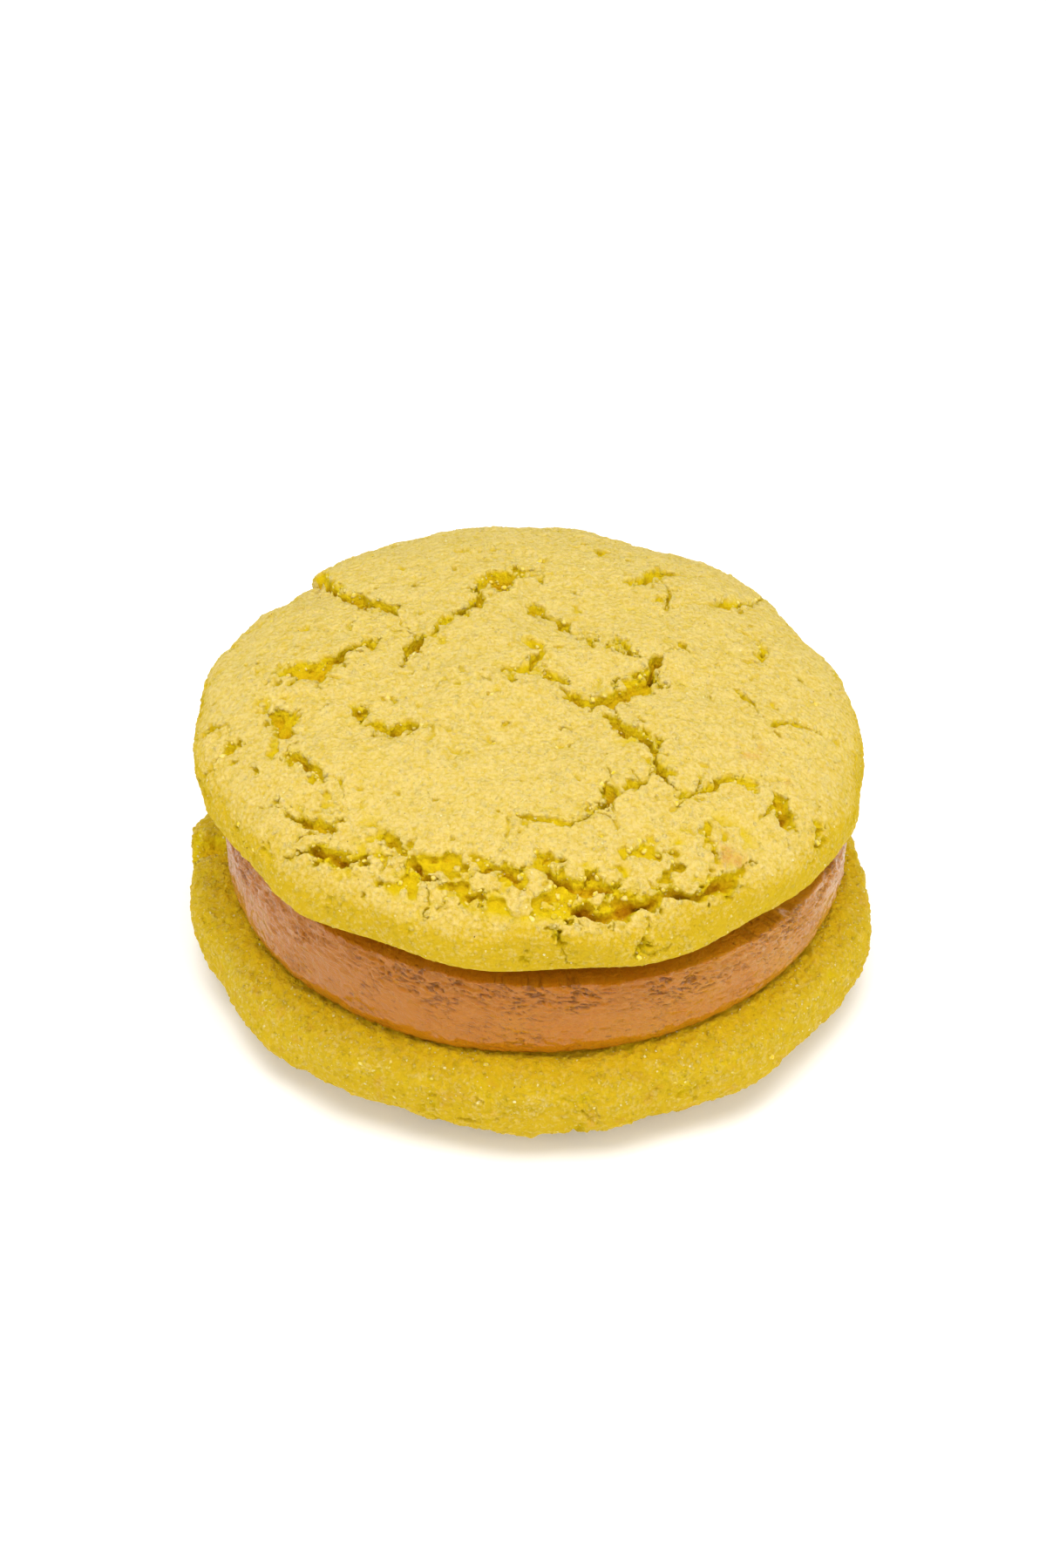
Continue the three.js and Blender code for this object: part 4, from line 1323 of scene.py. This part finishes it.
class COOKIE_OT_strewn(bpy.types.Operator):
    """Strews dough grains, sugar crystals, crumbs and dark specks over the crust"""

    bl_idname = "cookie.strewn"
    bl_label = "Grains, Sugar, Crumbs and Specks"

    def execute(self, context):
        settings = context.scene.cookie_crumbs
        crusts = [bpy.data.objects["crackled_top"], bpy.data.objects["sandy_bottom"]]
        dough = bpy.data.materials[CRUST_MATERIAL]
        grain = (grain_shape, dough, True, grain_chance, settings.grain_size)
        crystal = (crystal_shape, sugar_material(), False, sugar_chance, settings.crystal_size)
        crumb = (crumb_shape, crumb_material(context.scene.cookie_dough), True, crumb_chance, settings.crumb_size)
        speck = (grain_shape, speck_material(), True, speck_chance, settings.speck_size)
        # pieces for each mm2, least share of the greatest width, share that is sunk, flatness and seed
        for name, strewn_on, kind, density, least, sunk, flatness, seed in (
                ("top_grains", crusts[:1], grain, 1.65, 0.5, 0.2, 0.75, 4),
                ("bottom_grains", crusts[1:], grain, 2.1, 0.5, 0.2, 0.75, 4),
                ("sugar_crystals", crusts, crystal, settings.crystals, 0.5, 0.2, 0.8, 0),
                ("loose_crumbs", crusts, crumb, 0.4, 0.4, 0.1, 0.85, 1),
                ("toasted_specks", crusts, speck, 0.15, 0.5, 0.1, 0.45, 2)):
            shape_node, material, smooth, chance_of, size = kind
            pieces = strew(name, strewn_on, strewing_tree(name, shape_node, material, smooth), chance_of, {
                "Density": density * PER_MM2, "Size": size, "Least Share": least, "Sunk": sunk,
                "Flatness": flatness, "Seed": settings.seed + seed}, () if material is dough else CRUST_MEASURES)
            carry(pieces)
        return {"FINISHED"}


# The photographed frame and where the camera's target falls in it, in pixels from its upper left corner.
FRAME_WIDTH, FRAME_HEIGHT = 1200, 1799
TARGET_PIXEL = (614.6, 970.4)
TARGET_HEIGHT = 13.34 * MM
SENSOR = 36.0  # mm, along the long side
PIXELS_PER_MM = 10.3  # at the target
FLOOR_HALF = 3.0
SOFTBOX_DISTANCE = 0.9
RIGHT_SHARE = 1.15  # the right softbox is this much stronger than the left one


def add_camera(settings):
    data = bpy.data.cameras.new("Camera")
    focal_pixels = PIXELS_PER_MM * settings.distance / MM
    data.sensor_width = SENSOR
    data.lens = focal_pixels * SENSOR / FRAME_HEIGHT
    data.shift_x = (FRAME_WIDTH / 2 - TARGET_PIXEL[0]) / FRAME_HEIGHT
    data.shift_y = (TARGET_PIXEL[1] - FRAME_HEIGHT / 2) / FRAME_HEIGHT
    data.clip_start = 0.01
    camera = link(bpy.data.objects.new("Camera", data))
    back = Vector((0, -math.cos(settings.elevation), math.sin(settings.elevation)))
    target = Vector((STACK_CENTRE[0] * MM, STACK_CENTRE[1] * MM, TARGET_HEIGHT))
    camera.location = target + back * settings.distance
    camera.rotation_euler = (-back).to_track_quat("-Z", "Y").to_euler()
    bpy.context.scene.camera = camera


def add_floor(settings):
    mesh = bpy.data.meshes.new("Floor")
    corners = [(x * FLOOR_HALF, y * FLOOR_HALF, 0) for x, y in ((-1, -1), (1, -1), (1, 1), (-1, 1))]
    mesh.from_pydata(corners, [], [(0, 1, 2, 3)])
    floor = link(bpy.data.objects.new("Floor", mesh))
    material, desk = new_material("White sweep")
    finish_material(desk, (0.96, 0.96, 0.96, 1), 0.9, 0.0, {
        "Emission Color": (1, 1, 1, 1), "Emission Strength": settings.floor_glow})
    mesh.materials.append(material)


def add_softbox(name, azimuth, height, side, power):
    """A square softbox that faces the cookie from this direction and height above the horizon, in degrees."""
    azimuth, height = math.radians(azimuth), math.radians(height)
    data = bpy.data.lights.new(name, "AREA")
    data.shape = "SQUARE"
    data.size = side
    data.energy = power
    light = link(bpy.data.objects.new(name, data))
    outward = Vector((
        math.cos(height) * math.cos(azimuth), math.cos(height) * math.sin(azimuth), math.sin(height)))
    light.location = outward * SOFTBOX_DISTANCE
    light.rotation_euler = (-outward).to_track_quat("-Z", "Y").to_euler()


def add_room(settings):
    world = bpy.data.worlds.new("White room")
    world.use_nodes = True
    backdrop = world.node_tree.nodes["Background"]
    backdrop.inputs["Color"].default_value = (1, 1, 1, 1)
    backdrop.inputs["Strength"].default_value = settings.room_light
    bpy.context.scene.world = world


class COOKIE_OT_studio(bpy.types.Operator):
    """Adds the white floor, the soft lights and the camera"""

    bl_idname = "cookie.studio"
    bl_label = "Studio"

    def execute(self, context):
        settings = context.scene.cookie_studio
        add_camera(settings)
        add_floor(settings)
        add_room(settings)
        add_softbox("Overhead softbox", -90, 82, 0.7, settings.overhead_power)
        add_softbox("Front softbox", -86, 24, 0.5, settings.front_power)
        add_softbox("Left softbox", 200, 24, 0.5, settings.side_power)
        add_softbox("Right softbox", -20, 24, 0.5, settings.side_power * RIGHT_SHARE)
        context.scene.view_settings.view_transform = "Standard"
        return {"FINISHED"}


class COOKIE_PT_panel(bpy.types.Panel):
    """Lists the cookie's settings and the operators that make it"""

    bl_idname = "COOKIE_PT_panel"
    bl_label = "Fruit-filled Cookie"
    bl_space_type = "VIEW_3D"
    bl_region_type = "UI"
    bl_category = "Cookie"

    def draw(self, context):
        for group_name in GROUPS:
            group = getattr(context.scene, group_name)
            box = self.layout.box()
            for setting in group.bl_rna.properties:
                if setting.identifier not in ("rna_type", "name"):
                    box.prop(group, setting.identifier)
        for operator in OPERATORS:
            self.layout.operator(operator.bl_idname)


GROUPS = {
    "cookie_dough": CookieDoughSettings,
    "cookie_jelly": FruitJellySettings,
    "cookie_crumbs": CrumbSettings,
    "cookie_studio": StudioSettings,
}
OPERATORS = [
    COOKIE_OT_bottom_cookie, COOKIE_OT_jelly, COOKIE_OT_top_cookie, COOKIE_OT_strewn, COOKIE_OT_studio,
]


def register():
    for group_name, group in GROUPS.items():
        bpy.utils.register_class(group)
        setattr(bpy.types.Scene, group_name, PointerProperty(type=group))
    for operator in OPERATORS:
        bpy.utils.register_class(operator)
    bpy.utils.register_class(COOKIE_PT_panel)


def unregister():
    bpy.utils.unregister_class(COOKIE_PT_panel)
    for operator in reversed(OPERATORS):
        bpy.utils.unregister_class(operator)
    for group_name, group in GROUPS.items():
        delattr(bpy.types.Scene, group_name)
        bpy.utils.unregister_class(group)


def main():
    register()
    bpy.ops.cookie.bottom_cookie()
    bpy.ops.cookie.jelly()
    bpy.ops.cookie.top_cookie()
    bpy.ops.cookie.strewn()
    bpy.ops.cookie.studio()


if __name__ == "__main__":
    main()
